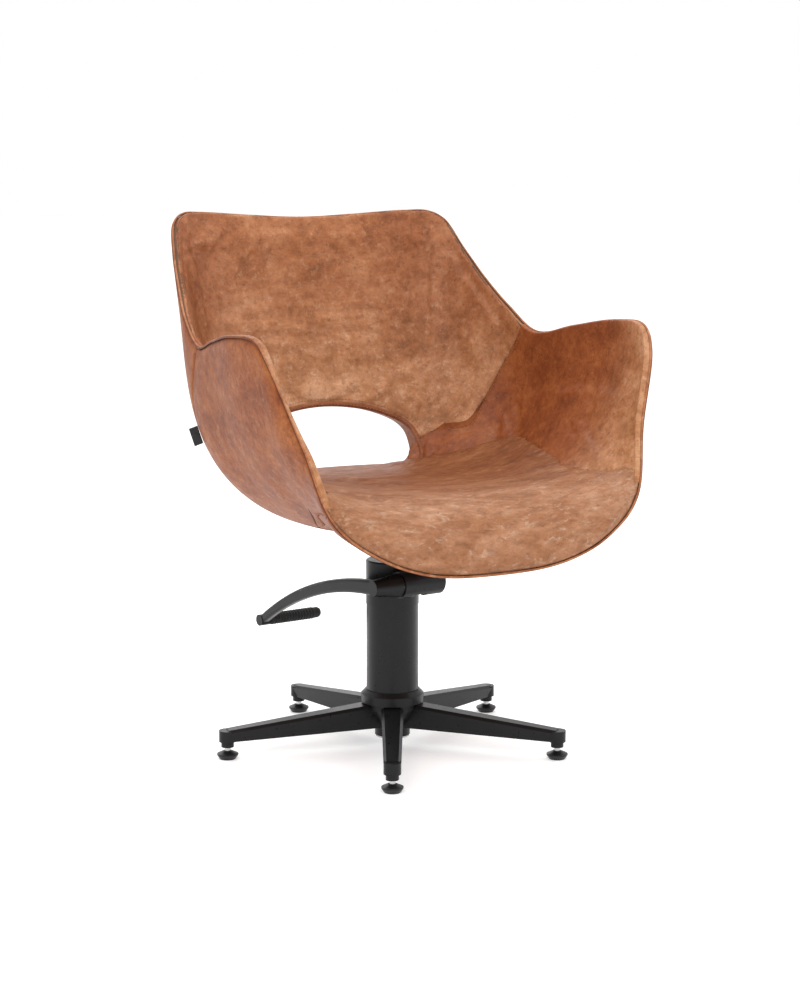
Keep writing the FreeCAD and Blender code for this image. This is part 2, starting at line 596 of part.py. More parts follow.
def swivel_mount():
    """Spindle, hub and the plate that the tub is bolted to."""
    low = "ram_top + 2 * race_thickness + 2 * ball_radius + fit_gap"
    turned_body("swivel_spindle", [
        ("0", "spindle_bottom"), ("spindle_radius", "spindle_bottom"),
        ("spindle_radius", "shell_bottom - plate_thickness"),
        ("0", "shell_bottom - plate_thickness")])
    body = make_body("seat_plate")
    revolve(body, "hub", [
        ("spindle_radius + fit_gap / 2", low), ("swivel_hub_radius - 4", low),
        ("swivel_hub_radius", "(%s) + 4" % low),
        ("swivel_hub_radius", "shell_bottom - plate_thickness"),
        ("spindle_radius + fit_gap / 2", "shell_bottom - plate_thickness")])
    plate = make_sketch(body, "plate", "XY_Plane", "shell_bottom - plate_thickness")
    half, cut = "plate_size / 2", "plate_size / 2 - plate_corner"
    polygon(plate, [(cut, "-" + half), (half, "-(%s)" % cut), (half, cut), (cut, half),
                    ("-(%s)" % cut, half), ("-" + half, cut), ("-" + half, "-(%s)" % cut),
                    ("-(%s)" % cut, "-" + half)])
    pad(body, "plate_pad", plate, "plate_thickness - layer_gap")
    doc.recompute()
    holes = make_sketch(body, "holes", "XY_Plane", "shell_bottom")
    for across, up in bolt_spots():
        circle(holes, across, up, "plate_bolt_radius + 0.4")
    pocket(body, "holes_cut", holes, "plate_thickness + 1")


def bolt_spots():
    """The four bolt places of the seat plate, as expressions."""
    return [(a + "plate_bolt_spacing / 2", b + "plate_bolt_spacing / 2")
            for a in ("", "-") for b in ("", "-")]


def ring_at(x, y, low, high, inner, outer):
    """Upright ring, or a disc where inner is zero."""
    ring = Part.makeCylinder(outer, high - low, Vector(x, y, low))
    if inner:
        ring = ring.cut(Part.makeCylinder(inner, high - low, Vector(x, y, low)))
    return ring


def seat_fasteners():
    """Bolts, washers and tee nuts that hold the tub on its plate."""
    radius, reach = dim("plate_bolt_radius"), dim("plate_bolt_spacing") / 2
    plate_low = dim("shell_bottom") - dim("plate_thickness")
    washer_low = plate_low - dim("plate_washer_thickness")
    head_low = washer_low - dim("plate_bolt_head_height")
    board_low = dim("shell_bottom") + dim("core_inner") + dim("layer_gap")
    board_top = board_low + dim("seat_board_thickness")
    bolts, washers, nuts = [], [], []
    for x in (-reach, reach):
        for y in (-reach, reach):
            head = ring_at(x, y, head_low, washer_low, 0, dim("plate_bolt_head_radius"))
            bolts.append(head.fuse(ring_at(x, y, washer_low, board_top - 2, 0, radius)))
            washers.append(ring_at(x, y, washer_low, plate_low, radius + 0.4,
                                   dim("plate_washer_radius")))
            barrel = ring_at(x, y, board_low + 1, board_top + 0.2, radius + 0.1, radius + 1.4)
            flange = ring_at(x, y, board_top, board_top + 1.4, radius + 0.1, radius + 6)
            nuts.append(barrel.fuse(flange).removeSplitter())
    feature("seat_bolts", Part.makeCompound(bolts))
    feature("seat_bolt_washers", Part.makeCompound(washers))
    feature("tee_nuts", Part.makeCompound(nuts))


# ---------------------------------------------------------------- tub

def smooth(value):
    value = min(max(value, 0), 1)
    return value * value * (3 - 2 * value)


def rim_point(u):
    """Point of the rim; u runs from 0 at the lip's centre to LAST at the back's, and on the
    other side of the chair it is negative."""
    side = -1 if u < 0 else 1
    u = abs(u)
    index = min(int(u), LAST - 1)

    def knot(position):
        mirror = -1 if position < 0 or position > LAST else 1
        position = -position if position < 0 else position
        position = 2 * LAST - position if position > LAST else position
        name = RIM_NAMES[position]
        x, y, z = (dim("rim_%s_%s" % (name, letter)) for letter in "xyz")
        return Vector(mirror * x, y, z)

    knots = [knot(index + step) for step in (-1, 0, 1, 2)]
    times = [0]
    for first, second in zip(knots, knots[1:]):
        times.append(times[-1] + math.sqrt((second - first).Length))
    moment = times[1] + (times[2] - times[1]) * (u - index)

    def blend(first, second, start, end):
        share = (moment - start) / (end - start)
        return first * (1 - share) + second * share

    layer = [blend(knots[k], knots[k + 1], times[k], times[k + 1]) for k in range(3)]
    layer = [blend(layer[k], layer[k + 1], times[k], times[k + 2]) for k in range(2)]
    point = blend(layer[0], layer[1], times[1], times[2])
    return Vector(side * point.x, point.y, point.z)


def tub_profile(u):
    """Four control points of the tub's outer profile, from its flat bottom up to the rim."""
    rim = rim_point(u)
    middle = dim("bottom_centre_y")
    angle = math.atan2(rim.y - middle, abs(rim.x))
    foot = Vector(math.copysign(dim("bottom_half_width") * math.cos(angle), rim.x),
                  middle + dim("bottom_half_length") * math.sin(angle), dim("shell_bottom"))
    if abs(rim.x) < 1e-9:
        foot.x = 0
    degrees = math.degrees(angle)
    back, front = smooth((degrees - 10) / 55), smooth((-degrees - 35) / 45)
    side = 1 - back - front
    flank = dim("flank_reach") * math.exp(-((degrees - dim("flank_angle")) / dim("flank_width")) ** 2)
    reach_low = dim("side_reach_low") * side + 0.45 * back + 0.5 * front
    reach_high = dim("side_reach_high") * side + 0.66 * back + 0.9 * front + flank
    rise_high = dim("side_rise_high") * side + 0.11 * back + 0.9 * front
    span = rim - foot
    low = foot + Vector(span.x * reach_low, span.y * reach_low, 0)
    high = foot + Vector(span.x * reach_high, span.y * reach_high, span.z * rise_high)
    return foot, low, high, rim


CACHE = {}


def outer_point(u, share):
    """Point of the outer surface, share 0 at the flat bottom and 1 just below the piping."""
    if abs(u) > LAST:
        u -= math.copysign(2 * LAST, u)
    if u not in CACHE:
        CACHE[u] = tub_profile(u)
    foot, low, high, rim = CACHE[u]
    v = share * (1 - dim("rim_drop") / (3 * (rim - high).Length))
    w = 1 - v
    return foot * w ** 3 + low * (3 * v * w * w) + high * (3 * v * v * w) + rim * v ** 3


def wall_point(u, share, depth):
    """Point that lies depth inside the outer surface."""
    step = 1e-3
    here = outer_point(u, share)
    along = outer_point(u + step, share) - outer_point(u - step, share)
    lower, upper = max(share - step, 0), min(share + step, 1)
    up = outer_point(u, upper) - outer_point(u, lower)
    inward = along.cross(up).normalize() * -1
    if share == 0:
        inward = Vector(0, 0, 1)
    if abs(u) in (0, LAST):
        inward.x = 0
    return here + inward * depth


def spread(start, end, count):
    return [start + (end - start) * step / (count - 1) for step in range(count)]


def at(value, share):
    """A number, or what a function of share gives."""
    return value(share) if callable(value) else value


def outer_seam(share):
    """u of the seam between the outer back and arm covers, which runs rearwards on its way down."""
    return BACK_SEAM + 2.6 * (1 - share)


def front_edge(share):
    """u of the seam between the lip cover and the outer arm covers, which turns in under the seat."""
    return FRONT_SEAM + 6.5 * (1 - share) ** 2


def inner_seam(share):
    """u of the seam between the inner back and arm pads; low down it turns to the cut-out."""
    down = 1 - share
    return 9.3 + 7 * down - 7 * down ** 2 + 3.6 * smooth((down - 0.34) / 0.2)


def pad_depth(share):
    """Depth of the pads' face, less near the rim, where the wall gets thinner."""
    thick, thin, start = dim("wall_thickness"), dim("rim_thickness"), dim("thinning_start")
    return thick - (thick - thin) * smooth((share - start) / (1 - start))


def surface(u_start, u_end, columns, shares, depth):
    """Interpolated wall surface; its ends and its depth may depend on share."""
    grid = []
    for part in spread(0, 1, columns):
        column = []
        for share in shares:
            u = at(u_start, share) * (1 - part) + at(u_end, share) * part
            column.append(wall_point(u, share, at(depth, share)))
        grid.append(column)
    made = Part.BSplineSurface()
    made.interpolate(grid)
    return made


def borders(made):
    """Border curves of a surface: start and end across, then its low and high edge."""
    u_low, u_high, v_low, v_high = made.bounds()
    return [made.uIso(u_low).toShape(), made.uIso(u_high).toShape(),
            made.vIso(v_low).toShape(), made.vIso(v_high).toShape()]


def solid_from(faces, label):
    shell = Part.makeShell(faces)
    shell.sewShape()
    solid = Part.Solid(shell)
    if solid.Volume < 0:
        solid.reverse()
    if not solid.isValid():
        solid.fix(0.01, 0.01, 0.05)
    if not solid.isValid() or not solid.isClosed():
        raise ValueError(label + " is not a closed solid")
    return solid


def panel(label, u_start, u_end, share_low, share_high, depth_out, depth_in, columns, rows=17):
    """Curved wall panel between two depths, bounded by u and share."""
    shares = spread(share_low, share_high, rows)
    skins = [surface(u_start, u_end, columns, shares, depth) for depth in (depth_out, depth_in)]
    faces = [skin.toShape() for skin in skins]
    for first, second in zip(*(borders(skin) for skin in skins)):
        faces.append(Part.makeRuledSurface(first, second))
    return solid_from(faces, label)


def dish(label, depth_out, depth_in, share_high, columns=55, rows=21):
    """Closed bowl between two depths, with a flat floor, up to one share of the wall."""
    shares = spread(0, share_high, rows)
    faces, rims = [], []
    for depth in (depth_out, depth_in):
        halves = [surface(0, side * LAST, columns, shares, depth) for side in (1, -1)]
        faces += [half.toShape() for half in halves]
        faces.append(Part.Face(Part.Wire([borders(half)[2] for half in halves])))
        rims.append([borders(half)[3] for half in halves])
    for first, second in zip(*rims):
        faces.append(Part.makeRuledSurface(first, second))
    return solid_from(faces, label)


def cutout_tool(grow=0.0):
    """Prism through the lower back with the cut-out's flat-bottomed arch section."""
    half, low = dim("cutout_half_width") + grow, dim("cutout_bottom") - grow
    high = dim("cutout_top") + grow
    corner = 0.18 * (high - low)
    start = Vector(half, 0, low + corner)
    arch = Part.BSplineCurve()
    arch.interpolate([start, Vector(half * 0.97, 0, low + 0.58 * (high - low)),
                      Vector(half * 0.64, 0, low + 0.86 * (high - low)), Vector(0, 0, high),
                      Vector(-half * 0.64, 0, low + 0.86 * (high - low)),
                      Vector(-half * 0.97, 0, low + 0.58 * (high - low)),
                      Vector(-half, 0, low + corner)])
    outline = Part.Wire([
        arch.toShape(),
        Part.LineSegment(Vector(-half, 0, low + corner), Vector(-half + corner, 0, low)).toShape(),
        Part.LineSegment(Vector(-half + corner, 0, low), Vector(half - corner, 0, low)).toShape(),
        Part.LineSegment(Vector(half - corner, 0, low), start).toShape()])
    return Part.Face(outline).extrude(Vector(0, 500, 0))


def bolt_tool(radius):
    reach = dim("plate_bolt_spacing") / 2
    drills = [ring_at(x, y, dim("shell_bottom") - 5, dim("shell_bottom") + 60, 0, radius)
              for x in (-reach, reach) for y in (-reach, reach)]
    return Part.makeCompound(drills)


def tub():
    """Covers outside, moulded core, pads inside and the piping round the rim."""
    cover, core_out = dim("cover_thickness"), dim("cover_thickness") + dim("layer_gap")
    core_in, pad_out = dim("core_inner"), dim("core_inner") + dim("layer_gap")
    skirt = dim("skirt_fraction")
    split = 0.006
    opening = cutout_tool(dim("cutout_band") + 0.3)

    underside = dish("underside_cover", 0, cover, skirt - split, rows=6)
    feature("underside_cover", underside.cut(bolt_tool(dim("plate_bolt_radius") + 0.6)))
    back = panel("back", lambda share: outer_seam(share) + split,
                 lambda share: 2 * LAST - outer_seam(share) - split, skirt, 1, 0, cover, 61)
    feature("outer_back_cover", back.cut(opening))
    for label, side in (("outer_arm_cover_left", 1), ("outer_arm_cover_right", -1)):
        arm = panel(label, lambda share: side * (front_edge(share) + split),
                    lambda share: side * (outer_seam(share) - split), skirt, 1, 0, cover, 31)
        feature(label, arm)
    front = panel("front", lambda share: split - front_edge(share),
                  lambda share: front_edge(share) - split, skirt, 1, 0,
                  cover - dim("layer_gap"), 65)
    feature("front_lip_cover", front)
    core = dish("tub_core", core_out, core_in, 1)
    feature("tub_core", core.cut(opening).cut(bolt_tool(dim("plate_bolt_radius") + 0.6)))
    back_pad = panel("back pad", lambda share: inner_seam(share) + 4 * split,
                     lambda share: 2 * LAST - inner_seam(share) - 4 * split, 0.4, 1, pad_out,
                     pad_depth, 61, 28)
    feature("inner_back_pad", back_pad.cut(opening))
    for label, side in (("arm_pad_left", 1), ("arm_pad_right", -1)):
        arm = panel(label, side * (FRONT_SEAM + split),
                    lambda share: side * (inner_seam(share) - split), 0.46, 1, pad_out,
                    pad_depth, 37, 28)
        feature(label, arm.cut(opening))
    wall = panel("cut-out wall", LAST - 5, LAST + 5, skirt, 0.72, 0.2,
                 lambda share: pad_depth(share) - 0.2, 31)
    band = cutout_tool(dim("cutout_band")).cut(cutout_tool())
    feature("cutout_band", wall.common(band))
    tub_floor(core_in)


def seat_height(x, y):
    """Top of the seat: dished across, gently falling to the rear, rolled over at the front."""
    rear, centre = dim("seat_rear_height"), dim("seat_centre_height")
    height = rear + (centre - rear) * smooth((150 - y) / 300)
    front_rise, rear_rise = dim("seat_front_rise"), dim("seat_rear_rise")
    rise = front_rise + (rear_rise - front_rise) * smooth((y + 260) / 320)
    height += rise * min(abs(x) / dim("seat_half_width"), 1.1) ** 2.5
    return height


def tub_floor(core_in):
    """Seat board inside the core's floor."""
    board_low = dim("shell_bottom") + core_in + dim("layer_gap")
    board = ring_at(0, dim("bottom_centre_y"), board_low, board_low + dim("seat_board_thickness"),
                    0, dim("seat_board_radius"))
    feature("seat_board", board.cut(bolt_tool(dim("plate_bolt_radius") + 1.6)))


def seat_depth(u, share):
    """How far inside the outer surface the cushion's underside runs."""
    full, thin = pad_depth(share) + dim("layer_gap"), dim("core_inner") + dim("layer_gap")
    front = 1 - smooth(abs(u) - FRONT_SEAM + 1)
    return full - (full - thin) * front * smooth(share / 0.4)


def seat_edge(u):
    """Share of the wall at which the cushion's top meets it, 1 where the wall is lower."""
    low, high = 0.1, 1.0
    for _ in range(30):
        middle = (low + high) / 2
        point = wall_point(u, middle, seat_depth(u, middle))
        if point.z < seat_height(point.x, point.y) - dim("seat_side_band"):
            low = middle
        else:
            high = middle
    return high


def seat_cushion():
    """Cushion with a flat floor, sides against the tub and a crowned top rolled over in front."""
    columns, roll = 55, dim("seat_roll")
    heart, heart_z = Vector(0, dim("bottom_centre_y"), 0), seat_height(0, dim("bottom_centre_y"))
    faces, rims = [], []
    for side in (1, -1):
        under, over = [], []
        for u in spread(0, side * LAST, columns):
            edge = seat_edge(u)
            under.append([wall_point(u, share * edge, seat_depth(u, share * edge))
                          for share in spread(0, 1, 12)])
            last = under[-1][-1]
            reach = Vector(last.x, last.y - heart.y, 0)
            flat = 1 - roll / reach.Length
            drop = seat_height(last.x, last.y) - last.z - dim("seat_side_band")
            steps = [(0.12 + (flat - 0.12) * k / 5, 0) for k in range(6)]
            turns = [math.radians(15 * k) for k in range(1, 7)]
            steps += [(flat + (1 - flat) * math.sin(a), 1 - math.cos(a)) for a in turns]
            column = []
            for share, fall in steps:
                spot = heart + reach * share
                spot.z = seat_height(spot.x, spot.y) - drop * fall
                column.append(spot)
            column[0].z = heart_z
            over.append(column)
        skins = []
        for grid in (under, over):
            skin = Part.BSplineSurface()
            skin.interpolate(grid)
            skins.append(skin)
            faces.append(skin.toShape())
        rims.append([borders(skins[0]), borders(skins[1])])
    for layer in (0, 1):
        faces.append(Part.Face(Part.Wire([half[layer][2] for half in rims])))
    for half in rims:
        edges = [Part.Wire(half[layer][3]) for layer in (0, 1)]
        faces += Part.makeLoft(edges, False, True).Faces
    feature("seat_cushion", solid_from(faces, "seat cushion"))


def rim_frame(u):
    """Top of the outer surface at u, the wall's rising direction there and its inward normal."""
    top = outer_point(u, 1)
    rise = (top - outer_point(u, 0.98)).normalize()
    inward = (wall_point(u, 0.999, 1) - wall_point(u, 0.999, 0)).normalize()
    if abs(u) in (0, LAST):
        rise.x = 0
        inward.x = 0
    return top, rise, inward


def rim_piping():
    """Round piping sewn on top of the wall along the whole rim."""
    radius = dim("piping_radius")
    turns = [math.radians(30 * step) for step in range(13)]
    faces = []
    for side in (1, -1):
        grid = []
        for u in spread(0, side * LAST, 91):
            top, rise, inward = rim_frame(u)
            centre = top + rise * (radius + 2.5 * dim("layer_gap")) + inward * radius
            grid.append([centre + rise * (radius * math.sin(a)) + inward * (radius * math.cos(a))
                         for a in turns])
        skin = Part.BSplineSurface()
        skin.interpolate(grid)
        faces.append(skin.toShape())
    feature("rim_piping", solid_from(faces, "rim piping"))


def side_tag():
    """Blank woven tag standing out of the rear seam of the right arm's outer cover."""
    share = 0.75
    u = -outer_seam(share)
    spot = outer_point(u, share)
    out = (outer_point(u, share) - wall_point(u, share, 1)).normalize()
    up = (outer_point(u, share + 0.05) - spot).normalize()
    side = out.cross(up)
    box = Part.makeBox(dim("tag_thickness"), dim("tag_width"), dim("tag_height"))
    turn = FreeCAD.Matrix(side.x, out.x, up.x, 0, side.y, out.y, up.y, 0, side.z, out.z, up.z, 0)
    box = box.transformGeometry(turn)
    box.translate(spot + out * 0.4 - up * (dim("tag_height") / 2))
    feature("side_tag", box)


def main():
    fill_sheet()
    star_base()
    glides()
    column()
    pump_head()
    ram_guides()
    axle_bushes()
    pump_unit()
    pedal()
    ram()
    thrust_bearing()
    swivel_mount()
    seat_fasteners()
    tub()
    seat_cushion()
    rim_piping()
    side_tag()
    finish()


def finish():
    doc.recompute()
    for item in doc.Objects:
        if any(word in state for state in item.State for word in ("Invalid", "Error")):
            raise ValueError("%s failed: %s" % (item.Label, item.State))
    os.makedirs("parts", exist_ok=True)
    for item in PARTS:
        shape = item.Shape
        if shape.isNull() or not shape.isValid():
            raise ValueError(item.Label + " has no valid shape")
        shape.exportStep("parts/%s.step" % item.Label)
    print(len(PARTS), "parts written")


main()
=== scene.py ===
import json
import math

import bmesh
import bpy
import numpy as np
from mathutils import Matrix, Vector
from mathutils.bvhtree import BVHTree
from mathutils.kdtree import KDTree


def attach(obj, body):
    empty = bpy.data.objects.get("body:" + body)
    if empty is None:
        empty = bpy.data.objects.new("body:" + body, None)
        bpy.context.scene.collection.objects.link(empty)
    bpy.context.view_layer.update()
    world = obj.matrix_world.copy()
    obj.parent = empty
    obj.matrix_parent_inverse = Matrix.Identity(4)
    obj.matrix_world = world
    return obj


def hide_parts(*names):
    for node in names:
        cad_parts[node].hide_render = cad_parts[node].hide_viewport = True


# Styling chair, metres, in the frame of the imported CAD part: +Z up, the sitter faces -Y.
# The tub's leather is built from the same rim and wall curves as the CAD part, then padded pieces
# are puffed with a cloth simulation. The pump column and star base show the CAD meshes.
# COVER to PAD_RIM are depths inside the tub's outer surface; SPLIT and TUCKED are gaps at seams in u.

RIM = {
    "lip_centre": (0, -333, 341), "lip_side": (130, -331, 351), "lip_corner": (217, -326, 386),
    "arm_foot": (280, -306, 445), "arm_front": (312, -272, 556), "arm_shoulder": (350, -240, 673),
    "arm_corner": (358, -211, 709), "arm_crest": (360, -130, 713), "arm_rear": (344, -35, 699),
    "notch": (326, 58, 684), "wing_root": (316, 126, 721), "wing_low": (302, 181, 766),
    "wing_mid": (286, 235, 822), "wing_high": (268, 274, 872), "back_corner": (243, 293, 887),
    "back_shoulder": (200, 309, 888), "back_dip": (100, 321, 882), "back_centre": (0, 324, 878),
}
KNOTS = np.array(list(RIM.values()), float) / 1000
LAST = len(KNOTS) - 1
LINE = np.vstack([KNOTS[1] * (-1, 1, 1), KNOTS, KNOTS[-2] * (-1, 1, 1)])
BOTTOM, MIDDLE, FOOT, RIM_DROP = 0.384, -0.010, 0.145, 0.005
FRONT_SEAM, BACK_SEAM = 3.2, 9.0
COVER, CORE_IN, PAD_IN, PAD_RIM = 0.003, 0.0126, 0.029, 0.0145
PIPING = 0.0018
SPLIT, TUCKED = 0.006, 0.026
GROOVE_DEPTH, GROOVE_WIDTH = 0.0026, 0.0028
FLAP_PART, FLAP_U, FLAP_SHARE = (0, 0.4, 0.7, 1), (5.27, 6.0, 6.52, 7.09), (0.53, 0.446, 0.35, 0.235)
LENS, SENSOR, CAMERA_SHIFT = 98.35, 36, 0.0095
CAMERA_SPOT, CAMERA_TILT, CAMERA_TURN = (-1.7914, -3.1028, 0.957), 81.429, -30

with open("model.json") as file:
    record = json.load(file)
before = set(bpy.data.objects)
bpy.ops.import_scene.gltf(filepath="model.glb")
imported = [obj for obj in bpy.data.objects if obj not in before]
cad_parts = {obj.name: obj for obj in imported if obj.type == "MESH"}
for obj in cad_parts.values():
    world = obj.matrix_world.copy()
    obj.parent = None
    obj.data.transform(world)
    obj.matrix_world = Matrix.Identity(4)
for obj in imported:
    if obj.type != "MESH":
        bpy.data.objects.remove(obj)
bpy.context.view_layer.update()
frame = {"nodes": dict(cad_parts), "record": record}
SEAT_BODY = "seat"


# ---------------------------------------------------------------- curves of the tub

def ease(value):
    value = np.clip(value, 0, 1)
    return value * value * (3 - 2 * value)


def rim(u):
    """Rim of the tub; u is 0 at the lip's centre and LAST at the back's, negative on the other side."""
    u = (np.asarray(u, float) + LAST) % (2 * LAST) - LAST
    side, a = np.where(u < 0, -1.0, 1.0), np.abs(u)
    index = np.minimum(a.astype(int), LAST - 1)
    points = [LINE[index + k] for k in range(4)]
    times = [np.zeros(index.shape)]
    for first, second in zip(points, points[1:]):
        times.append(times[-1] + np.sqrt(np.linalg.norm(second - first, axis=-1)))
    moment = times[1] + (times[2] - times[1]) * (a - index)

    def mix(first, second, start, end):
        share = ((moment - start) / (end - start))[..., None]
        return first * (1 - share) + second * share

    layer = [mix(points[k], points[k + 1], times[k], times[k + 1]) for k in range(3)]
    layer = [mix(layer[k], layer[k + 1], times[k], times[k + 2]) for k in range(2)]
    out = mix(layer[0], layer[1], times[1], times[2])
    out[..., 0] *= side
    return out


def outer(u, share):
    """Outer surface; share is 0 at the flat bottom and 1 just below the piping."""
    u, share = np.broadcast_arrays(np.asarray(u, float), np.asarray(share, float))
    top = rim(u)
    angle = np.arctan2(top[..., 1] - MIDDLE, np.abs(top[..., 0]))
    foot = np.stack([np.copysign(FOOT * np.cos(angle), top[..., 0]),
                     MIDDLE + FOOT * np.sin(angle), np.full(u.shape, BOTTOM)], -1)
    degrees = np.degrees(angle)
    back, front = ease((degrees - 10) / 55), ease((-degrees - 35) / 45)
    side = 1 - back - front
    flank = 0.24 * np.exp(-((degrees - 14.7) / 16.8) ** 2)
    low_reach = 0.05 * side + 0.45 * back + 0.5 * front
    high_reach = 0.93 * side + 0.66 * back + 0.9 * front + flank
    high_rise = 0.13 * side + 0.11 * back + 0.9 * front
    span = top - foot
    low = foot + span * np.stack([low_reach, low_reach, 0 * low_reach], -1)
    high = foot + span * np.stack([high_reach, high_reach, high_rise], -1)
    v = share * (1 - RIM_DROP / (3 * np.linalg.norm(top - high, axis=-1)))
    v = v[..., None]
    w = 1 - v
    return foot * w ** 3 + low * (3 * v * w * w) + high * (3 * v * v * w) + top * v ** 3


def axes_at(u, share):
    """Directions along the rim, up the wall and into the tub."""
    step = 1e-3
    u, share = np.broadcast_arrays(np.asarray(u, float), np.asarray(share, float))
    along = outer(u + step, share) - outer(u - step, share)
    up = outer(u, np.minimum(share + step, 1)) - outer(u, np.maximum(share - step, 0))
    inward = -np.cross(along, up)
    inward /= np.linalg.norm(inward, axis=-1, keepdims=True)
    inward = np.where((share <= 0)[..., None], np.array([0, 0, 1.0]), inward)
    along /= np.linalg.norm(along, axis=-1, keepdims=True)
    up /= np.linalg.norm(up, axis=-1, keepdims=True)
    return along, up, inward


def wall(u, share, depth, rise=0.0):
    """Point depth inside the outer surface and rise above it along the wall."""
    _, up, inward = axes_at(u, share)
    depth = np.broadcast_to(np.asarray(depth, float), inward.shape[:-1])
    rise = np.broadcast_to(np.asarray(rise, float), inward.shape[:-1])
    return outer(u, share) + inward * depth[..., None] + up * rise[..., None]


def outer_seam(share):
    """u of the seam between the outer back and arm covers."""
    return BACK_SEAM + 2.6 * (1 - np.asarray(share, float))


def front_edge(share):
    """u of the seam between the outer arm covers and the lip cover, which turns in under the seat."""
    return FRONT_SEAM + 6.5 * (1 - np.asarray(share, float)) ** 2


def back_seam(share):
    """u of the seam between the inner back and the inner arm, which sweeps back as it goes down."""
    down = 1 - np.asarray(share, float)
    return 9.3 + 7 * down - 7 * down ** 2 + 3.6 * ease((down - 0.34) / 0.2)


def pad_depth(share):
    """Depth of the pads' face inside the outer surface; the wall thins towards the rim."""
    return PAD_IN - (PAD_IN - PAD_RIM) * ease((np.asarray(share, float) - 0.45) / 0.55)


# ---------------------------------------------------------------- mesh helpers

def new_object(name, points, faces, body=SEAT_BODY, smooth=True):
    mesh = bpy.data.meshes.new(name)
    mesh.from_pydata([tuple(p) for p in points], [], faces)
    mesh.validate()
    mesh.update()
    made = bpy.data.objects.new(name, mesh)
    bpy.context.scene.collection.objects.link(made)
    for polygon in mesh.polygons:
        polygon.use_smooth = smooth
    if body:
        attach(made, body)
    return made


def grid_faces(rows, columns, offset=0, wrap_rows=False, wrap_columns=False, flip=False):
    faces = []
    for i in range(rows if wrap_rows else rows - 1):
        for j in range(columns if wrap_columns else columns - 1):
            a, b = i * columns + j, i * columns + (j + 1) % columns
            c, d = ((i + 1) % rows) * columns + (j + 1) % columns, ((i + 1) % rows) * columns + j
            face = [offset + k for k in (a, b, c, d)]
            faces.append(face[::-1] if flip else face)
    return faces


def tube(name, sections, closed=False, body=SEAT_BODY):
    """Closed mesh swept through equal rings of points, capped at both ends unless it runs round."""
    rings, count = sections.shape[:2]
    faces = grid_faces(rings, count, wrap_rows=closed, wrap_columns=True)
    if not closed:
        faces.append(list(range(count)))
        faces.append([(rings - 1) * count + k for k in range(count)][::-1])
    made = new_object(name, sections.reshape(-1, 3), faces, body)
    face_outwards(made)
    return made


def face_outwards(thing):
    work = bmesh.new()
    work.from_mesh(thing.data)
    bmesh.ops.recalc_face_normals(work, faces=work.faces)
    work.to_mesh(thing.data)
    work.free()


def coordinates(mesh):
    flat = np.empty(len(mesh.vertices) * 3)
    mesh.vertices.foreach_get("co", flat)
    return flat.reshape(-1, 3)


def set_coordinates(mesh, points):
    mesh.vertices.foreach_set("co", np.ascontiguousarray(points, dtype=np.float32).ravel())
    mesh.update()


def apply_modifier(thing, kind, **settings):
    modifier = thing.modifiers.new(kind.title(), kind)
    for key, value in settings.items():
        setattr(modifier, key, value)
    with bpy.context.temp_override(object=thing, active_object=thing, selected_objects=[thing]):
        bpy.ops.object.modifier_apply(modifier=modifier.name)


def shade_smooth(thing):
    thing.data.polygons.foreach_set("use_smooth", [True] * len(thing.data.polygons))


def value_noise(points, scale, seed=0):
    """Smooth random value between -1 and 1 for every point."""
    lattice = np.random.default_rng(seed).uniform(-1, 1, (32, 32, 32))
    spot = np.asarray(points) * scale + 17.0
    low = np.floor(spot).astype(int)
    part = spot - low
    part = part * part * (3 - 2 * part)
    total = np.zeros(len(spot))
    for dx in (0, 1):
        for dy in (0, 1):
            for dz in (0, 1):
                weight = (np.abs(1 - dx - part[:, 0]) * np.abs(1 - dy - part[:, 1])
                          * np.abs(1 - dz - part[:, 2]))
                total += weight * lattice[(low[:, 0] + dx) % 32, (low[:, 1] + dy) % 32, (low[:, 2] + dz) % 32]
    return total


# ---------------------------------------------------------------- materials

def node_material(name):
    material = bpy.data.materials.new(name)
    material.use_nodes = True
    tree = material.node_tree
    surface = tree.nodes["Principled BSDF"]
    place = tree.nodes.new("ShaderNodeTexCoord")
    return material, tree, surface, place.outputs["Object"]


def noise(tree, vector, scale, detail=4, rough=0.55, distortion=0.0, stretch=None):
    if stretch:
        mapping = tree.nodes.new("ShaderNodeMapping")
        mapping.inputs["Scale"].default_value = stretch
        tree.links.new(vector, mapping.inputs["Vector"])
        vector = mapping.outputs["Vector"]
    made = tree.nodes.new("ShaderNodeTexNoise")
    made.inputs["Scale"].default_value = scale
    made.inputs["Detail"].default_value = detail
    made.inputs["Roughness"].default_value = rough
    made.inputs["Distortion"].default_value = distortion
    tree.links.new(vector, made.inputs["Vector"])
    return made.outputs["Fac"]


def ramp(tree, factor, stops):
    made = tree.nodes.new("ShaderNodeValToRGB")
    elements = made.color_ramp.elements
    while len(elements) < len(stops):
        elements.new(0.5)
    for element, (position, colour) in zip(elements, stops):
        element.position = position
        element.color = (*colour, 1) if len(colour) == 3 else colour
    tree.links.new(factor, made.inputs["Fac"])
    return made.outputs["Color"]


def blend_colour(tree, factor, first, second, mode="MIX"):
    made = tree.nodes.new("ShaderNodeMix")
    made.data_type = "RGBA"
    made.blend_type = mode
    for socket, value in ((made.inputs[0], factor), (made.inputs[6], first), (made.inputs[7], second)):
        if isinstance(value, (float, int)):
            socket.default_value = value
        elif isinstance(value, tuple):
            socket.default_value = (*value, 1)
        else:
            tree.links.new(value, socket)
    return made.outputs[2]


def calculate(tree, kind, first, second):
    made = tree.nodes.new("ShaderNodeMath")
    made.operation = kind
    for socket, value in zip(made.inputs, (first, second)):
        if isinstance(value, (float, int)):
            socket.default_value = value
        else:
            tree.links.new(value, socket)
    return made.outputs[0]


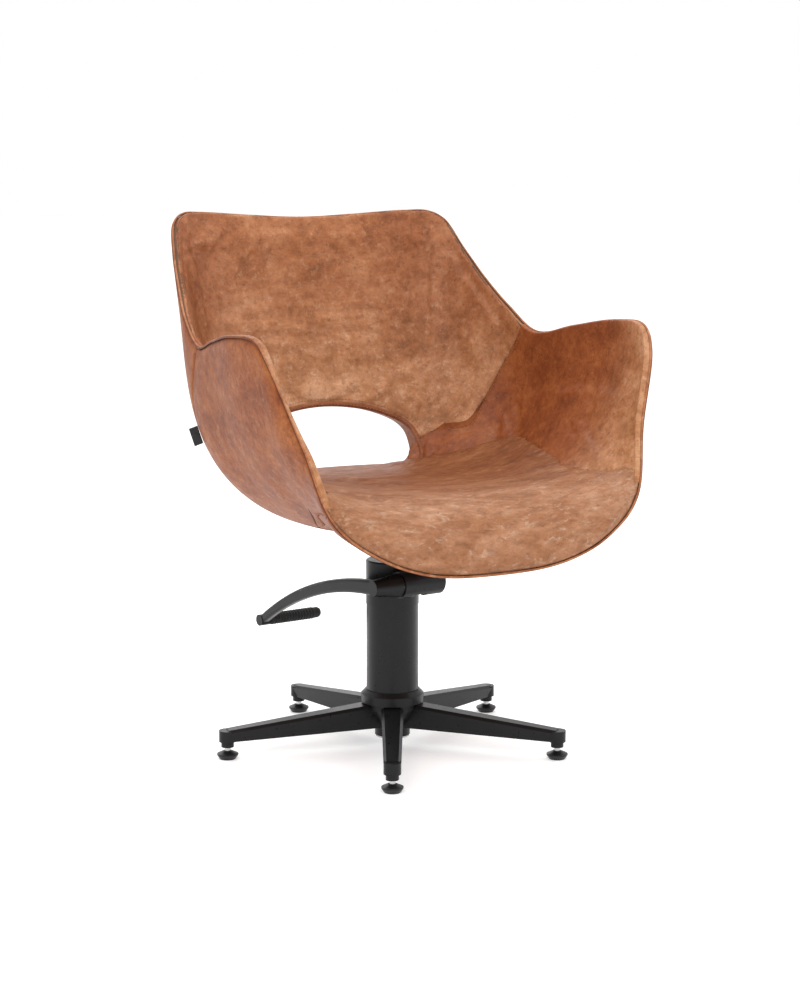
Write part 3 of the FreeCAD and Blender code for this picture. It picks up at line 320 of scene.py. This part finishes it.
def bump(tree, surface, layers):
    """Chain of bumps from (height, distance, strength)."""
    normal = None
    for height, distance, strength in layers:
        made = tree.nodes.new("ShaderNodeBump")
        made.inputs["Distance"].default_value = distance
        made.inputs["Strength"].default_value = strength
        tree.links.new(height, made.inputs["Height"])
        if normal is not None:
            tree.links.new(normal, made.inputs["Normal"])
        normal = made.outputs["Normal"]
    tree.links.new(normal, surface.inputs["Normal"])


def paint_light_and_shade(tree, vector, colour, painted_light):
    """Painted light and shade: lighten or darken a colour along object axes, as a painted highlight where
    light falls and painted shade where it doesn't; each entry is (axis, start, end, tint at start, tint at
    end).
    """
    split = tree.nodes.new("ShaderNodeSeparateXYZ")
    tree.links.new(vector, split.inputs["Vector"])
    for axis, start, end, first, last in painted_light:
        spread = tree.nodes.new("ShaderNodeMapRange")
        spread.interpolation_type = "SMOOTHSTEP"
        spread.inputs["From Min"].default_value = start
        spread.inputs["From Max"].default_value = end
        tree.links.new(split.outputs[axis], spread.inputs["Value"])
        tint = blend_colour(tree, spread.outputs["Result"], first, last)
        colour = blend_colour(tree, 1.0, colour, tint, "MULTIPLY")
    return colour


def leather(name, tone=(1.0, 1.0, 1.0), stretch=None, worn=0.5, painted_light=()):
    """Waxed aniline leather: soft cloudy colour, darker scuffed flecks, pale rubbed spots and grain, with
    painted highlight and shade along object axes.
    """
    material, tree, surface, vector = node_material(name)
    def shade(r, g, b):
        return tuple(c * t for c, t in zip((r, g, b), tone))
    clouds = noise(tree, vector, 15, 12, 0.76, 0.15, stretch)
    body = ramp(tree, clouds, [(0.34, shade(0.205, 0.062, 0.017)), (0.46, shade(0.310, 0.106, 0.037)),
                               (0.56, shade(0.385, 0.152, 0.066)), (0.68, shade(0.465, 0.215, 0.110))])
    flecks = noise(tree, vector, 100, 12, 0.78, 0.2, stretch)
    fleck_mask = ramp(tree, flecks, [(0.52, (0, 0, 0)), (0.66, (1, 1, 1))])
    colour = blend_colour(tree, calculate(tree, "MULTIPLY", fleck_mask, 0.75), body,
                          shade(0.170, 0.046, 0.011))
    rubbed = noise(tree, vector, 72, 11, 0.74, 0.3, stretch)
    rub_mask = ramp(tree, rubbed, [(0.54, (0, 0, 0)), (0.68, (1, 1, 1))])
    colour = blend_colour(tree, calculate(tree, "MULTIPLY", rub_mask, worn), colour,
                          shade(0.560, 0.310, 0.185))
    streaks = noise(tree, vector, 90, 6, 0.7, 0.6, (0.35, 1.6, 1.1) if stretch is None else stretch)
    streak_mask = ramp(tree, streaks, [(0.35, (0.82, 0.80, 0.78)), (0.68, (1.14, 1.14, 1.14))])
    colour = blend_colour(tree, 1.0, colour, streak_mask, "MULTIPLY")
    # Painted light and shade: brighter or darker towards given ends of the object's axes.
    colour = paint_light_and_shade(tree, vector, colour, painted_light)
    tree.links.new(colour, surface.inputs["Base Color"])
    gloss = ramp(tree, rubbed, [(0.30, (0.62, 0.62, 0.62)), (0.70, (0.43, 0.43, 0.43))])
    tree.links.new(gloss, surface.inputs["Roughness"])
    surface.inputs["Specular IOR Level"].default_value = 0.3
    grain = tree.nodes.new("ShaderNodeTexVoronoi")
    grain.inputs["Scale"].default_value = 620
    tree.links.new(vector, grain.inputs["Vector"])
    crumple = noise(tree, vector, 75, 5, 0.6, 0.8, stretch)
    hills = noise(tree, vector, 22, 3, 0.5, 0.3, stretch)
    bump(tree, surface, [(hills, 0.0022, 0.5), (crumple, 0.0011, 0.55),
                         (grain.outputs["Distance"], 0.00035, 0.5)])
    return material


def plain(name, colour, roughness, metallic=0.0, variation=0.15, scale=60, depth=0.0002, coat=0.0,
          specular=0.5):
    """Painted, plated, rubber or plastic finish with slight unevenness in colour, gloss and surface."""
    material, tree, surface, vector = node_material(name)
    cloud = noise(tree, vector, scale / 4, 4, 0.6)
    low = tuple(c * (1 - variation) for c in colour)
    high = tuple(min(c * (1 + variation), 1) for c in colour)
    tree.links.new(ramp(tree, cloud, [(0.35, low), (0.65, high)]), surface.inputs["Base Color"])
    smear = noise(tree, vector, scale, 6, 0.65, 0.4)
    low, high = (roughness * 0.85,) * 3, (min(roughness * 1.2, 1),) * 3
    tree.links.new(ramp(tree, smear, [(0.3, low), (0.7, high)]), surface.inputs["Roughness"])
    surface.inputs["Metallic"].default_value = metallic
    surface.inputs["Coat Weight"].default_value = coat
    surface.inputs["Specular IOR Level"].default_value = specular
    bump(tree, surface, [(noise(tree, vector, scale * 12, 3, 0.6), depth, 0.4)])
    return material


MATERIALS = {
    # Inner back: painted highlight brightening the lower back, painted shade darkening its top and both
    # sides.
    "tan_leather": leather("leather_back", painted_light=[
        ("Z", 0.52, 0.80, (1.24, 1.58, 1.85), (0.90, 0.88, 0.80)),
        ("X", 0.02, 0.24, (1.0, 1.0, 1.0), (0.84, 0.76, 0.68)),
        ("X", -0.26, -0.10, (0.80, 0.70, 0.62), (1.0, 1.0, 1.0))]),
    # Inner arms: painted highlight lightening the front, painted shade darkening the rear deep in the tub.
    "leather_arm": leather("leather_arm", worn=0.35,
                           painted_light=[("Y", -0.29, -0.10, (1.12, 1.38, 1.55), (0.64, 0.43, 0.22))]),
    "leather_outer": leather("leather_outer", (0.66, 0.46, 0.20), worn=0.45),
    # Seat: painted highlight making the front paler, painted shade darkening the rear.
    "leather_seat": leather("leather_seat", stretch=(0.55, 1.5, 1.0), worn=0.75,
                            painted_light=[("Y", -0.34, -0.08, (0.86, 1.02, 1.2), (0.56, 0.47, 0.32))]),
    "leather_piping": leather("leather_piping", (0.86, 0.82, 0.74), worn=0.8),
    # Dark leather for the flap edges, also used for the painted shadow of the trench along the rim.
    "dark_edge_and_shadow": leather("dark_edge_and_shadow", (0.34, 0.20, 0.10), worn=0.1),
    "leather_lining": leather("leather_lining", (0.62, 0.48, 0.34), worn=0.2),
    "thread": plain("thread", (0.30, 0.125, 0.055), 0.7, variation=0.2, scale=300),
    "moulded_core": plain("moulded_core", (0.10, 0.045, 0.02), 0.8),
    "plywood": plain("plywood", (0.50, 0.34, 0.18), 0.7, scale=30),
    "tag_cloth": plain("tag_cloth", (0.010, 0.010, 0.011), 0.75, scale=400, depth=0.0004),
    "black_paint": plain("black_paint", (0.0080, 0.0080, 0.0085), 0.30, scale=70, depth=0.0001, specular=0.2),
    "steel": plain("steel", (0.52, 0.52, 0.53), 0.34, 1.0, 0.08, 90),
    "chromed_steel": plain("chromed_steel", (0.70, 0.70, 0.72), 0.12, 1.0, 0.04, 90, 0.00005),
    "bearing_bronze": plain("bearing_bronze", (0.55, 0.38, 0.17), 0.38, 1.0, 0.12, 90),
    "black_rubber": plain("black_rubber", (0.011, 0.011, 0.011), 0.6, scale=160, depth=0.0004, specular=0.25),
    "glide_plastic": plain("glide_plastic", (0.009, 0.009, 0.0095), 0.36, scale=120, specular=0.3),
}


def dress(thing, material):
    thing.data.materials.clear()
    thing.data.materials.append(MATERIALS[material])


def dress_cad_nodes():
    slots = {part["node"]: part["material_slot"] for part in frame["record"]["subparts"]}
    for node, thing in frame["nodes"].items():
        thing.data.materials.clear()
        thing.data.materials.append(MATERIALS[slots[node]])


# ---------------------------------------------------------------- leather covers outside

def cover(name, node, u_start, u_end, share_low, columns, rows=40):
    """Sewn outer cover: thin closed skin, drawn in towards its seams. Its ends are functions of share."""
    part, share = np.meshgrid(np.linspace(0, 1, columns), np.linspace(share_low, 1, rows), indexing="ij")
    u = u_start(share) * (1 - part) + u_end(share) * part
    spots = outer(u, share)
    across = np.linalg.norm(np.diff(spots, axis=0), axis=-1).cumsum(0)
    across = np.vstack([np.zeros((1, rows)), across])
    upward = np.linalg.norm(np.diff(spots, axis=1), axis=-1).cumsum(1)
    upward = np.hstack([np.zeros((columns, 1)), upward])
    edge = np.minimum(np.minimum(across, across[-1:] - across), np.minimum(upward, upward[:, -1:] - upward))
    tuck = GROOVE_DEPTH * np.exp(-edge / GROOVE_WIDTH)
    uneven = 0.0007 * value_noise(spots.reshape(-1, 3), 11, 3).reshape(u.shape) * (1 - np.exp(-edge / 0.02))
    outside = wall(u, share, np.maximum(tuck + uneven, 0))
    inside = wall(u, share, COVER)
    made = two_skins(name, outside, inside)
    dress(made, "leather_outer")
    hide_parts(node)
    return made


def two_skins(name, first, second):
    """Closed mesh between two equal grids."""
    rows, columns = first.shape[:2]
    points = np.vstack([first.reshape(-1, 3), second.reshape(-1, 3)])
    shift = rows * columns
    faces = grid_faces(rows, columns) + grid_faces(rows, columns, shift, flip=True)
    border = ([(i, 0) for i in range(rows)] + [(rows - 1, j) for j in range(1, columns)]
              + [(i, columns - 1) for i in range(rows - 2, -1, -1)]
              + [(0, j) for j in range(columns - 2, 0, -1)])
    ring = [i * columns + j for i, j in border]
    for a, b in zip(ring, ring[1:] + ring[:1]):
        faces.append([a, b, b + shift, a + shift])
    made = new_object(name, points, faces)
    face_outwards(made)
    return made


def cutout_outline(count=180, grow=0.0):
    """Outline of the opening in the lower back, seen from the front, running round once."""
    half, low, high = 0.157, 0.446, 0.550
    angle = np.linspace(0, 2 * math.pi, count, endpoint=False)
    corner = 0.18 * (high - low)
    rise = high - low
    knots = [(half, low + corner), (half * 0.97, low + 0.58 * rise), (half * 0.64, low + 0.86 * rise),
             (0, high)]
    arch = bezier_through(knots + [(-x, z) for x, z in knots[-2::-1]], 140)
    floor = [(-half + corner, low), (half - corner, low)]
    loop = np.vstack([arch, floor, arch[:1]])
    length = np.concatenate([[0], np.linalg.norm(np.diff(loop, axis=0), axis=1).cumsum()])
    steps = angle / (2 * math.pi) * length[-1]
    ring = np.stack([np.interp(steps, length, loop[:, k]) for k in (0, 1)], -1)
    for _ in range(6):
        ring = 0.5 * ring + 0.25 * (np.roll(ring, 1, 0) + np.roll(ring, -1, 0))
    along = np.roll(ring, -1, 0) - np.roll(ring, 1, 0)
    along /= np.linalg.norm(along, axis=1, keepdims=True)
    out = np.stack([along[:, 1], -along[:, 0]], -1)
    centre = ring.mean(0)
    out *= np.sign(((ring - centre) * out).sum(1, keepdims=True))
    return ring + out * grow, out


def bezier_through(knots, count):
    """Smooth curve through knots with chord-length parameter."""
    knots = np.array(knots, float)
    chord = np.concatenate([[0], np.sqrt(np.linalg.norm(np.diff(knots, axis=0), axis=1)).cumsum()])
    slopes = np.gradient(knots, chord, axis=0)
    slopes[0] = (0, 1) * np.abs(slopes[0])
    slopes[-1] = (0, -1) * np.abs(slopes[-1])
    out = []
    for t in np.linspace(0, chord[-1], count):
        k = min(np.searchsorted(chord, t, "right") - 1, len(chord) - 2)
        h = chord[k + 1] - chord[k]
        s = (t - chord[k]) / h
        out.append((2 * s ** 3 - 3 * s ** 2 + 1) * knots[k] + (s ** 3 - 2 * s ** 2 + s) * h * slopes[k]
                   + (3 * s ** 2 - 2 * s ** 3) * knots[k + 1] + (s ** 3 - s ** 2) * h * slopes[k + 1])
    return np.array(out)


def surface_depth(depth):
    """Function giving the wall's y at (x, z) on the back, for one depth as a function of share."""
    u, share = np.meshgrid(np.linspace(10, 24, 281), np.linspace(0.1, 1, 181), indexing="ij")
    spots = wall(u, share, depth(share))
    faces = grid_faces(*u.shape)
    tree = BVHTree.FromPolygons([tuple(p) for p in spots.reshape(-1, 3)], faces)

    def y_at(x, z):
        hit = tree.ray_cast(Vector((x, 1.0, z)), Vector((0, -1, 0)))[0]
        return hit.y if hit else float("nan")

    return y_at


def prism(grow, y_low=0.05, y_high=0.5):
    """Cutter through the back with the opening's outline."""
    ring, _ = cutout_outline(grow=grow)
    sections = [np.stack([ring[:, 0], np.full(len(ring), y), ring[:, 1]], -1) for y in (y_low, y_high)]
    return tube("cutter", np.stack(sections), body=None)


def cut(thing, tool):
    apply_modifier(thing, "BOOLEAN", operation="DIFFERENCE", object=tool, solver="EXACT")
    bpy.data.objects.remove(tool)


# ---------------------------------------------------------------- padded pieces inside

def rolled_section(u, share_low, rows, depth_out=CORE_IN, lap=0.0042, sunk=0.0):
    """Ring of points round one pad: up its face, over the rim to the piping and down its hidden side."""
    shares = np.linspace(share_low, 0.985, rows)
    face = wall(u, shares, pad_depth(shares) - sunk)
    turns = np.radians(np.linspace(10, 180, 13))
    middle, reach = (PAD_RIM - sunk + lap) / 2, (PAD_RIM - sunk - lap) / 2
    rise = 0.0056 * np.sin(turns) ** 0.7 - 0.0018
    lip = wall(np.full(13, u[-1]), np.ones(13), middle + reach * np.cos(turns), rise)
    down = np.linspace(0.985, share_low, rows)
    hidden = wall(u[::-1], down, depth_out)
    return np.vstack([face, lip, hidden])


def puff(thing, pinned, pressure=3.0, cap=0.006, frames=16, stiffness=25):
    """Inflate a pad a little with a cloth simulation; pinned vertices and far moves are held."""
    before = coordinates(thing.data)
    group = thing.vertex_groups.new(name="held")
    for index, weight in enumerate(pinned):
        if weight > 0.01:
            group.add([index], float(weight), "REPLACE")
    modifier = thing.modifiers.new("Cloth", "CLOTH")
    settings = modifier.settings
    settings.quality = 5
    settings.mass = 0.35
    settings.tension_stiffness = stiffness
    settings.compression_stiffness = stiffness
    settings.shear_stiffness = stiffness * 0.4
    settings.bending_stiffness = 1.5
    settings.tension_damping = 15
    settings.use_pressure = True
    settings.uniform_pressure_force = pressure
    settings.shrink_min = -0.012
    settings.vertex_group_mass = "held"
    settings.effector_weights.gravity = 0
    modifier.collision_settings.use_collision = False
    modifier.point_cache.frame_start = 1
    modifier.point_cache.frame_end = frames
    scene = bpy.context.scene
    for moment in range(1, frames + 1):
        scene.frame_set(moment)
    evaluated = thing.evaluated_get(bpy.context.evaluated_depsgraph_get())
    after = coordinates(evaluated.data)
    thing.modifiers.remove(modifier)
    scene.frame_set(1)
    move = np.nan_to_num(after - before)
    facing = vertex_normals(thing.data)
    move -= facing * np.minimum((move * facing).sum(1, keepdims=True), 0)
    length = np.linalg.norm(move, axis=1, keepdims=True)
    move *= np.minimum(1, cap / np.maximum(length, 1e-9))
    move *= 1 - np.asarray(pinned)[:, None]
    set_coordinates(thing.data, before + move)


def soften(thing, rounds, keep=None):
    """Average each vertex with its neighbours, held back where keep is near 1."""
    mesh = thing.data
    edges = np.empty(len(mesh.edges) * 2, int)
    mesh.edges.foreach_get("vertices", edges)
    edges = edges.reshape(-1, 2)
    points = coordinates(mesh)
    count = np.bincount(edges.ravel(), minlength=len(points)).astype(float)[:, None]
    free = 1.0 if keep is None else (1 - np.asarray(keep))[:, None]
    for _ in range(rounds):
        total = np.zeros_like(points)
        np.add.at(total, edges[:, 0], points[edges[:, 1]])
        np.add.at(total, edges[:, 1], points[edges[:, 0]])
        points += (total / count - points) * 0.5 * free
    set_coordinates(mesh, points)


def near_edges(points, reach=0.03):
    """1 close to the rim or to the back's seams, falling to 0 at reach."""
    shares = np.linspace(0.4, 1, 120)
    curves = [outer(np.linspace(-LAST, LAST, 700), np.ones(700))]
    curves += [wall(side * back_seam(shares), shares, pad_depth(shares)) for side in (1, -1)]
    spots = np.vstack(curves)
    tree = KDTree(len(spots))
    for index, spot in enumerate(spots):
        tree.insert(spot, index)
    tree.balance()
    distance = np.array([tree.find(point)[2] for point in points])
    return 1 - ease((distance - 0.35 * reach) / (0.65 * reach))


def hidden_side(points, normals):
    """1 where a pad's skin faces the core, 0 where it faces the sitter."""
    heart = np.array([0.0, -0.06, 0.60])
    towards = heart - points
    towards /= np.linalg.norm(towards, axis=1, keepdims=True)
    return np.clip(-(normals * towards).sum(1) * 3, 0, 1)


def vertex_normals(mesh):
    flat = np.empty(len(mesh.vertices) * 3)
    mesh.vertices.foreach_get("normal", flat)
    return flat.reshape(-1, 3)


def arm_pad(side, node):
    name = "arm_upholstery_" + node.rsplit("_", 1)[1]
    rows, columns = 74, 96
    low = 0.38
    shares = np.linspace(low, 0.985, rows)
    rings = []
    for part in np.linspace(0, 1, columns):
        end = back_seam(shares) - SPLIT
        u = side * ((FRONT_SEAM + SPLIT) * (1 - part) + end * part)
        rings.append(rolled_section(u, low, rows))
    rings = np.array(rings)
    made = tube(name, rings)
    held = np.zeros((columns, rings.shape[1]))
    held[:, :rows] = ease((np.arange(rows) - (rows - 22)) / 16)
    held[:, rows:] = 1
    held[:, 0] = 1
    ends = 1 - ease(np.minimum(np.arange(columns), np.arange(columns)[::-1]) / 9)
    held = np.maximum(held, ends[:, None])
    puff(made, held.ravel(), cap=0.004)
    settle(made, "leather_arm", node)
    return made


def settle(thing, material, node):
    """Finish one padded piece."""
    shade_smooth(thing)
    dress(thing, material)
    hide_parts(node)


def back_pad():
    """Inner back: rings across the back from seam to seam, cut for the opening and remeshed."""
    rows, columns = 70, 150
    shares = np.linspace(0.42, 0.985, rows)
    rings = []
    for part in np.linspace(0, 1, columns):
        start = back_seam(shares) - TUCKED
        u = start * (1 - part) + (2 * LAST - start) * part
        sunk = 0.003 if part in (0, 1) else 0.0
        rings.append(rolled_section(u, 0.42, rows, 0.0065, sunk=sunk))
    made = tube("back_upholstery", np.array(rings))
    cut(made, prism(0.0035))
    apply_modifier(made, "REMESH", mode="VOXEL", voxel_size=0.0042)
    soften(made, 6)
    points = coordinates(made.data)
    held = np.maximum(hidden_side(points, vertex_normals(made.data)), near_edges(points))
    puff(made, held, cap=0.005)
    soften(made, 2)
    settle(made, "tan_leather", "inner_back_pad")
    return made


def lip_roll():
    """Roll of the seat's leather over the front lip, down to the piping."""
    turns = np.radians(np.linspace(0, 360, 20, endpoint=False))
    rings = []
    for u in np.linspace(-FRONT_SEAM - 0.25, FRONT_SEAM + 0.25, 100):
        full = 1 - float(ease((abs(u) - 2.2) / (FRONT_SEAM - 2.1)))
        low, high = 0.0008, 0.0145 + 0.011 * full
        depth = (low + high) / 2 + (high - low) / 2 * np.cos(turns)
        rise = (0.0075 + 0.002 * full) * np.sin(turns) - 0.0055
        rings.append(wall(np.full(20, u), np.ones(20), depth, rise))
    return tube("lip_roll", np.array(rings), body=None)


def seat_pad():
    """Seat cushion from the CAD solid, joined with the roll over the lip, remeshed and puffed."""
    source = frame["nodes"]["seat_cushion"]
    made = bpy.data.objects.new("seat_upholstery", source.data.copy())
    bpy.context.scene.collection.objects.link(made)
    roll = lip_roll()
    with bpy.context.temp_override(object=made, active_object=made, selected_objects=[made, roll],
                                   selected_editable_objects=[made, roll]):
        bpy.ops.object.join()
    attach(made, SEAT_BODY)
    apply_modifier(made, "REMESH", mode="VOXEL", voxel_size=0.0042)
    soften(made, 8)
    points, normals = coordinates(made.data), vertex_normals(made.data)
    held = np.clip(-(normals[:, 2]) * 2 + 0.2, 0, 1)
    puff(made, held, pressure=2.5, cap=0.004)
    points = coordinates(made.data)
    rear = ease((points[:, 1] + 0.20) / 0.22) * ease((0.17 - points[:, 1]) / 0.1)
    top = np.clip(vertex_normals(made.data)[:, 2], 0, 1) ** 2
    folds = value_noise(points * (0.30, 1.0, 0.6), 42, 11)
    folds = folds + 0.6 * value_noise(points * (0.25, 1.0, 0.5), 90, 12)
    lift = 0.0010 * folds * rear * top
    soft = 0.0012 * value_noise(points, 9, 14) * top
    set_coordinates(made.data, points + vertex_normals(made.data) * (lift + soft)[:, None])
    settle(made, "leather_seat", "seat_cushion")
    return made


# ---------------------------------------------------------------- piping, lining, stitches, flap edges, underside

def rim_piping():
    us = np.linspace(-LAST, LAST, 560, endpoint=False)
    turns = np.radians(np.linspace(0, 360, 14, endpoint=False))
    rings = []
    for u in us:
        rings.append(wall(np.full(14, u), np.ones(14), 0.0030 + PIPING * np.cos(turns),
                          0.0024 + PIPING * np.sin(turns)))
    made = tube("piping", np.array(rings), closed=True)
    dress(made, "leather_piping")
    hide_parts("rim_piping")
    # Thin dark tube beside the piping: a painted shadow standing in for the shade in the narrow trench
    # between the cover's edge and the piping.
    rings = []
    for u in us:
        rings.append(wall(np.full(14, u), np.ones(14), 0.0009 + 0.0010 * np.cos(turns),
                          0.0009 + 0.0012 * np.sin(turns)))
    seam = tube("rim_trench_shadow", np.array(rings), closed=True)
    dress(seam, "dark_edge_and_shadow")
    return made


def opening_lining():
    """Bound edge of the opening: a strip through the wall that laps over both faces."""
    inner_y, outer_y = surface_depth(pad_depth), surface_depth(lambda share: 0 * share)
    ring, out = cutout_outline(200)
    rings = []
    for spot, away in zip(ring, out):
        probe = spot + away * 0.004
        near, far = inner_y(*probe), outer_y(*probe)
        steps = [(0.0105, near + 0.0015), (0.0085, near - 0.0012), (0.0045, near - 0.0024),
                 (0.0012, near - 0.0016), (-0.0004, near + 0.0008), (-0.0006, near + 0.006),
                 (-0.0006, (near + far) / 2), (-0.0006, far - 0.006), (-0.0004, far - 0.0008),
                 (0.0012, far + 0.0008), (0.0045, far + 0.0012), (0.0085, far + 0.0006),
                 (0.0105, far - 0.0012), (0.0040, far - 0.005), (0.0030, (near + far) / 2),
                 (0.0040, near + 0.006)]
        rings.append([(spot[0] + away[0] * g, y, spot[1] + away[1] * g) for g, y in steps])
    rings = np.array(rings)
    made = tube("opening_binding", rings, closed=True)
    apply_modifier(made, "SUBSURF", levels=1)
    shade_smooth(made)
    dress(made, "leather_lining")
    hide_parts("cutout_band")
    return made, rings


def stitch_row(name, path, normals, pitch=0.0062, length=0.0044, radius=0.00055):
    """Row of thread stitches lying along a path on the leather."""
    step = np.linalg.norm(np.diff(path, axis=0), axis=1)
    run = np.concatenate([[0], step.cumsum()])
    points, faces = [], []
    for start in np.arange(pitch / 2, run[-1] - length, pitch):
        ends = []
        for place in np.linspace(start, start + length, 5):
            spot = np.array([np.interp(place, run, path[:, k]) for k in range(3)])
            normal = np.array([np.interp(place, run, normals[:, k]) for k in range(3)])
            ends.append((spot, normal / np.linalg.norm(normal)))
        along = ends[-1][0] - ends[0][0]
        along /= np.linalg.norm(along)
        base = len(points)
        for k, (spot, normal) in enumerate(ends):
            side = np.cross(along, normal)
            bulge = math.sin(math.pi * (k + 0.35) / 4.7)
            for turn in range(6):
                a = turn * math.pi / 3
                points.append(spot + normal * (radius * (bulge * 1.2 - 0.7) + radius * bulge * math.sin(a))
                              + side * radius * max(bulge, 0.3) * math.cos(a))
        faces += grid_faces(5, 6, base, wrap_columns=True)
        faces += [[base + k for k in range(6)][::-1], [base + 24 + k for k in range(6)]]
    made = new_object(name, points, faces)
    face_outwards(made)
    dress(made, "thread")
    return made


def on_pad(thing, spots, inward, lift=0.0003):
    """Project spots onto a pad's face along the wall's inward direction."""
    tree = BVHTree.FromObject(thing, bpy.context.evaluated_depsgraph_get())
    landed, normals = [], []
    for spot, direction in zip(spots, inward):
        origin = Vector(spot + direction * 0.05)
        hit, normal, _, _ = tree.ray_cast(origin, Vector(-direction), 0.12)
        if hit is None:
            hit, normal = Vector(spot), Vector(direction)
        landed.append(np.array(hit + normal * lift))
        normals.append(np.array(normal))
    return np.array(landed), np.array(normals)


def seam_stitches(back, arms):
    shares = np.linspace(0.53, 0.985, 120)
    for side, arm in zip((1, -1), arms):
        for label, offset, pad in (("arm", -0.045, arm), ("back", 0.045, back)):
            u = side * (back_seam(shares) + offset)
            spots, inward = wall(u, shares, pad_depth(shares)), axes_at(u, shares)[2]
            path, normals = on_pad(pad, spots, inward)
            stitch_row("stitches_%s_%s" % (label, "left" if side > 0 else "right"), path, normals)


def flap_seams():
    """At the foot of each arm: stitches beside the front seam and the turned edge of a small flap."""
    for side, label in ((1, "left"), (-1, "right")):
        shares = np.linspace(0.93, 0.3, 80)
        u = side * (front_edge(shares) + 0.05)
        spots, inward = outer(u, shares), axes_at(u, shares)[2]
        stitch_row("stitches_foot_" + label, spots, -inward)
        part = np.linspace(0, 1, 50)
        u = side * np.interp(part, FLAP_PART, FLAP_U)
        shares = np.interp(part, FLAP_PART, FLAP_SHARE)
        inward = axes_at(u, shares)[2]
        turns = np.radians(np.arange(0, 360, 45))
        spots = outer(u, shares)
        along = np.gradient(spots, axis=0)
        along /= np.linalg.norm(along, axis=1, keepdims=True)
        across = np.cross(along, inward)
        size = 0.0013 * np.sin(np.pi * (0.08 + 0.84 * part))[:, None, None]
        rings = spots[:, None] + size * (np.cos(turns)[None, :, None] * across[:, None]
                                         + np.sin(turns)[None, :, None] * inward[:, None])
        edge = tube("flap_edge_" + label, rings)
        dress(edge, "dark_edge_and_shadow")


def opening_stitches(back):
    for label, grow in (("inner", 0.0045), ("outer", 0.0135)):
        ring, _ = cutout_outline(260, grow)
        keep = ring[:, 1] > 0.470
        start = int(np.argmin(keep))
        order = np.roll(np.arange(len(ring)), -start)
        ring = ring[[k for k in order if keep[k]]]
        pads = [BVHTree.FromObject(thing, bpy.context.evaluated_depsgraph_get())
                for thing in (back, bpy.data.objects["opening_binding"])]
        path, normals = [], []
        for x, z in ring:
            hits = [tree.ray_cast(Vector((x, 0.0, z)), Vector((0, 1, 0))) for tree in pads]
            hits = [hit for hit in hits if hit[0] is not None]
            if hits:
                spot, normal = min(((hit[0], hit[1]) for hit in hits), key=lambda item: item[0].y)
                path.append(np.array(spot + normal * 0.0003))
                normals.append(np.array(normal))
        stitch_row("stitches_opening_" + label, np.array(path), np.array(normals))


def underside():
    """Leather under the seat, drawn over the shell's flat bottom."""
    source = frame["nodes"]["underside_cover"]
    made = bpy.data.objects.new("underside_leather", source.data.copy())
    bpy.context.scene.collection.objects.link(made)
    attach(made, SEAT_BODY)
    shade_smooth(made)
    dress(made, "leather_outer")
    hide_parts("underside_cover")


# ---------------------------------------------------------------- build

def build():
    dress_cad_nodes()
    back = cover("back_cover", "outer_back_cover", lambda share: outer_seam(share) + SPLIT,
                 lambda share: 2 * LAST - outer_seam(share) - SPLIT, 0.2, 220, 90)
    cut(back, prism(0.0028))
    shade_smooth(back)
    for side, label in ((1, "left"), (-1, "right")):
        cover("arm_cover_" + label, "outer_arm_cover_" + label,
              lambda share: side * (front_edge(share) + SPLIT),
              lambda share: side * (outer_seam(share) - SPLIT), 0.2, 110, 70)
    cover("lip_cover", "front_lip_cover", lambda share: SPLIT - front_edge(share),
          lambda share: front_edge(share) - SPLIT, 0.2, 170, 50)
    underside()
    inner = back_pad()
    arms = [arm_pad(1, "arm_pad_left"), arm_pad(-1, "arm_pad_right")]
    seat_pad()
    rim_piping()
    opening_lining()
    seam_stitches(inner, arms)
    opening_stitches(inner)
    flap_seams()


def studio():
    corners = [(-40, -40, 0), (40, -40, 0), (40, 40, 0), (-40, 40, 0)]
    plane = new_object("floor", corners, [[0, 1, 2, 3]], body=None)
    paint = plain("floor_paint", (0.88, 0.88, 0.88), 0.8, variation=0.01, scale=4)
    glow = paint.node_tree.nodes["Principled BSDF"]
    glow.inputs["Emission Color"].default_value = (1, 1, 1, 1)
    glow.inputs["Emission Strength"].default_value = 0.3
    plane.data.materials.append(paint)
    world = bpy.data.worlds.new("studio")
    bpy.context.scene.world = world
    world.use_nodes = True
    sky = world.node_tree.nodes["Background"]
    sky.inputs["Color"].default_value = (1, 1, 1, 1)
    sky.inputs["Strength"].default_value = 1.0
    lamps = [("key", (-2.2, -2.6, 3.2), 2.2, 60), ("fill", (2.8, -2.0, 2.4), 2.4, 28),
             ("top", (0.0, 0.2, 3.4), 2.6, 50), ("rear", (0.6, 3.0, 2.4), 2.4, 30)]
    for name, spot, size, power in lamps:
        light = bpy.data.lights.new(name, "AREA")
        light.energy = power
        light.size = size
        lamp = bpy.data.objects.new(name, light)
        lamp.location = spot
        lamp.rotation_euler = (Vector((0, 0, 0.5)) - Vector(spot)).to_track_quat("-Z", "Y").to_euler()
        bpy.context.scene.collection.objects.link(lamp)
    view = bpy.context.scene.view_settings
    view.view_transform = "Standard"
    view.look = "None"
    view.exposure = 0


def camera():
    data = bpy.data.cameras.new("camera")
    data.sensor_fit = "HORIZONTAL"
    data.sensor_width = SENSOR
    data.lens = LENS
    data.shift_x = CAMERA_SHIFT
    data.clip_end = 50
    made = bpy.data.objects.new("camera", data)
    made.location = CAMERA_SPOT
    made.rotation_euler = (math.radians(CAMERA_TILT), 0, math.radians(CAMERA_TURN))
    bpy.context.scene.collection.objects.link(made)
    bpy.context.scene.camera = made


build()
studio()
camera()
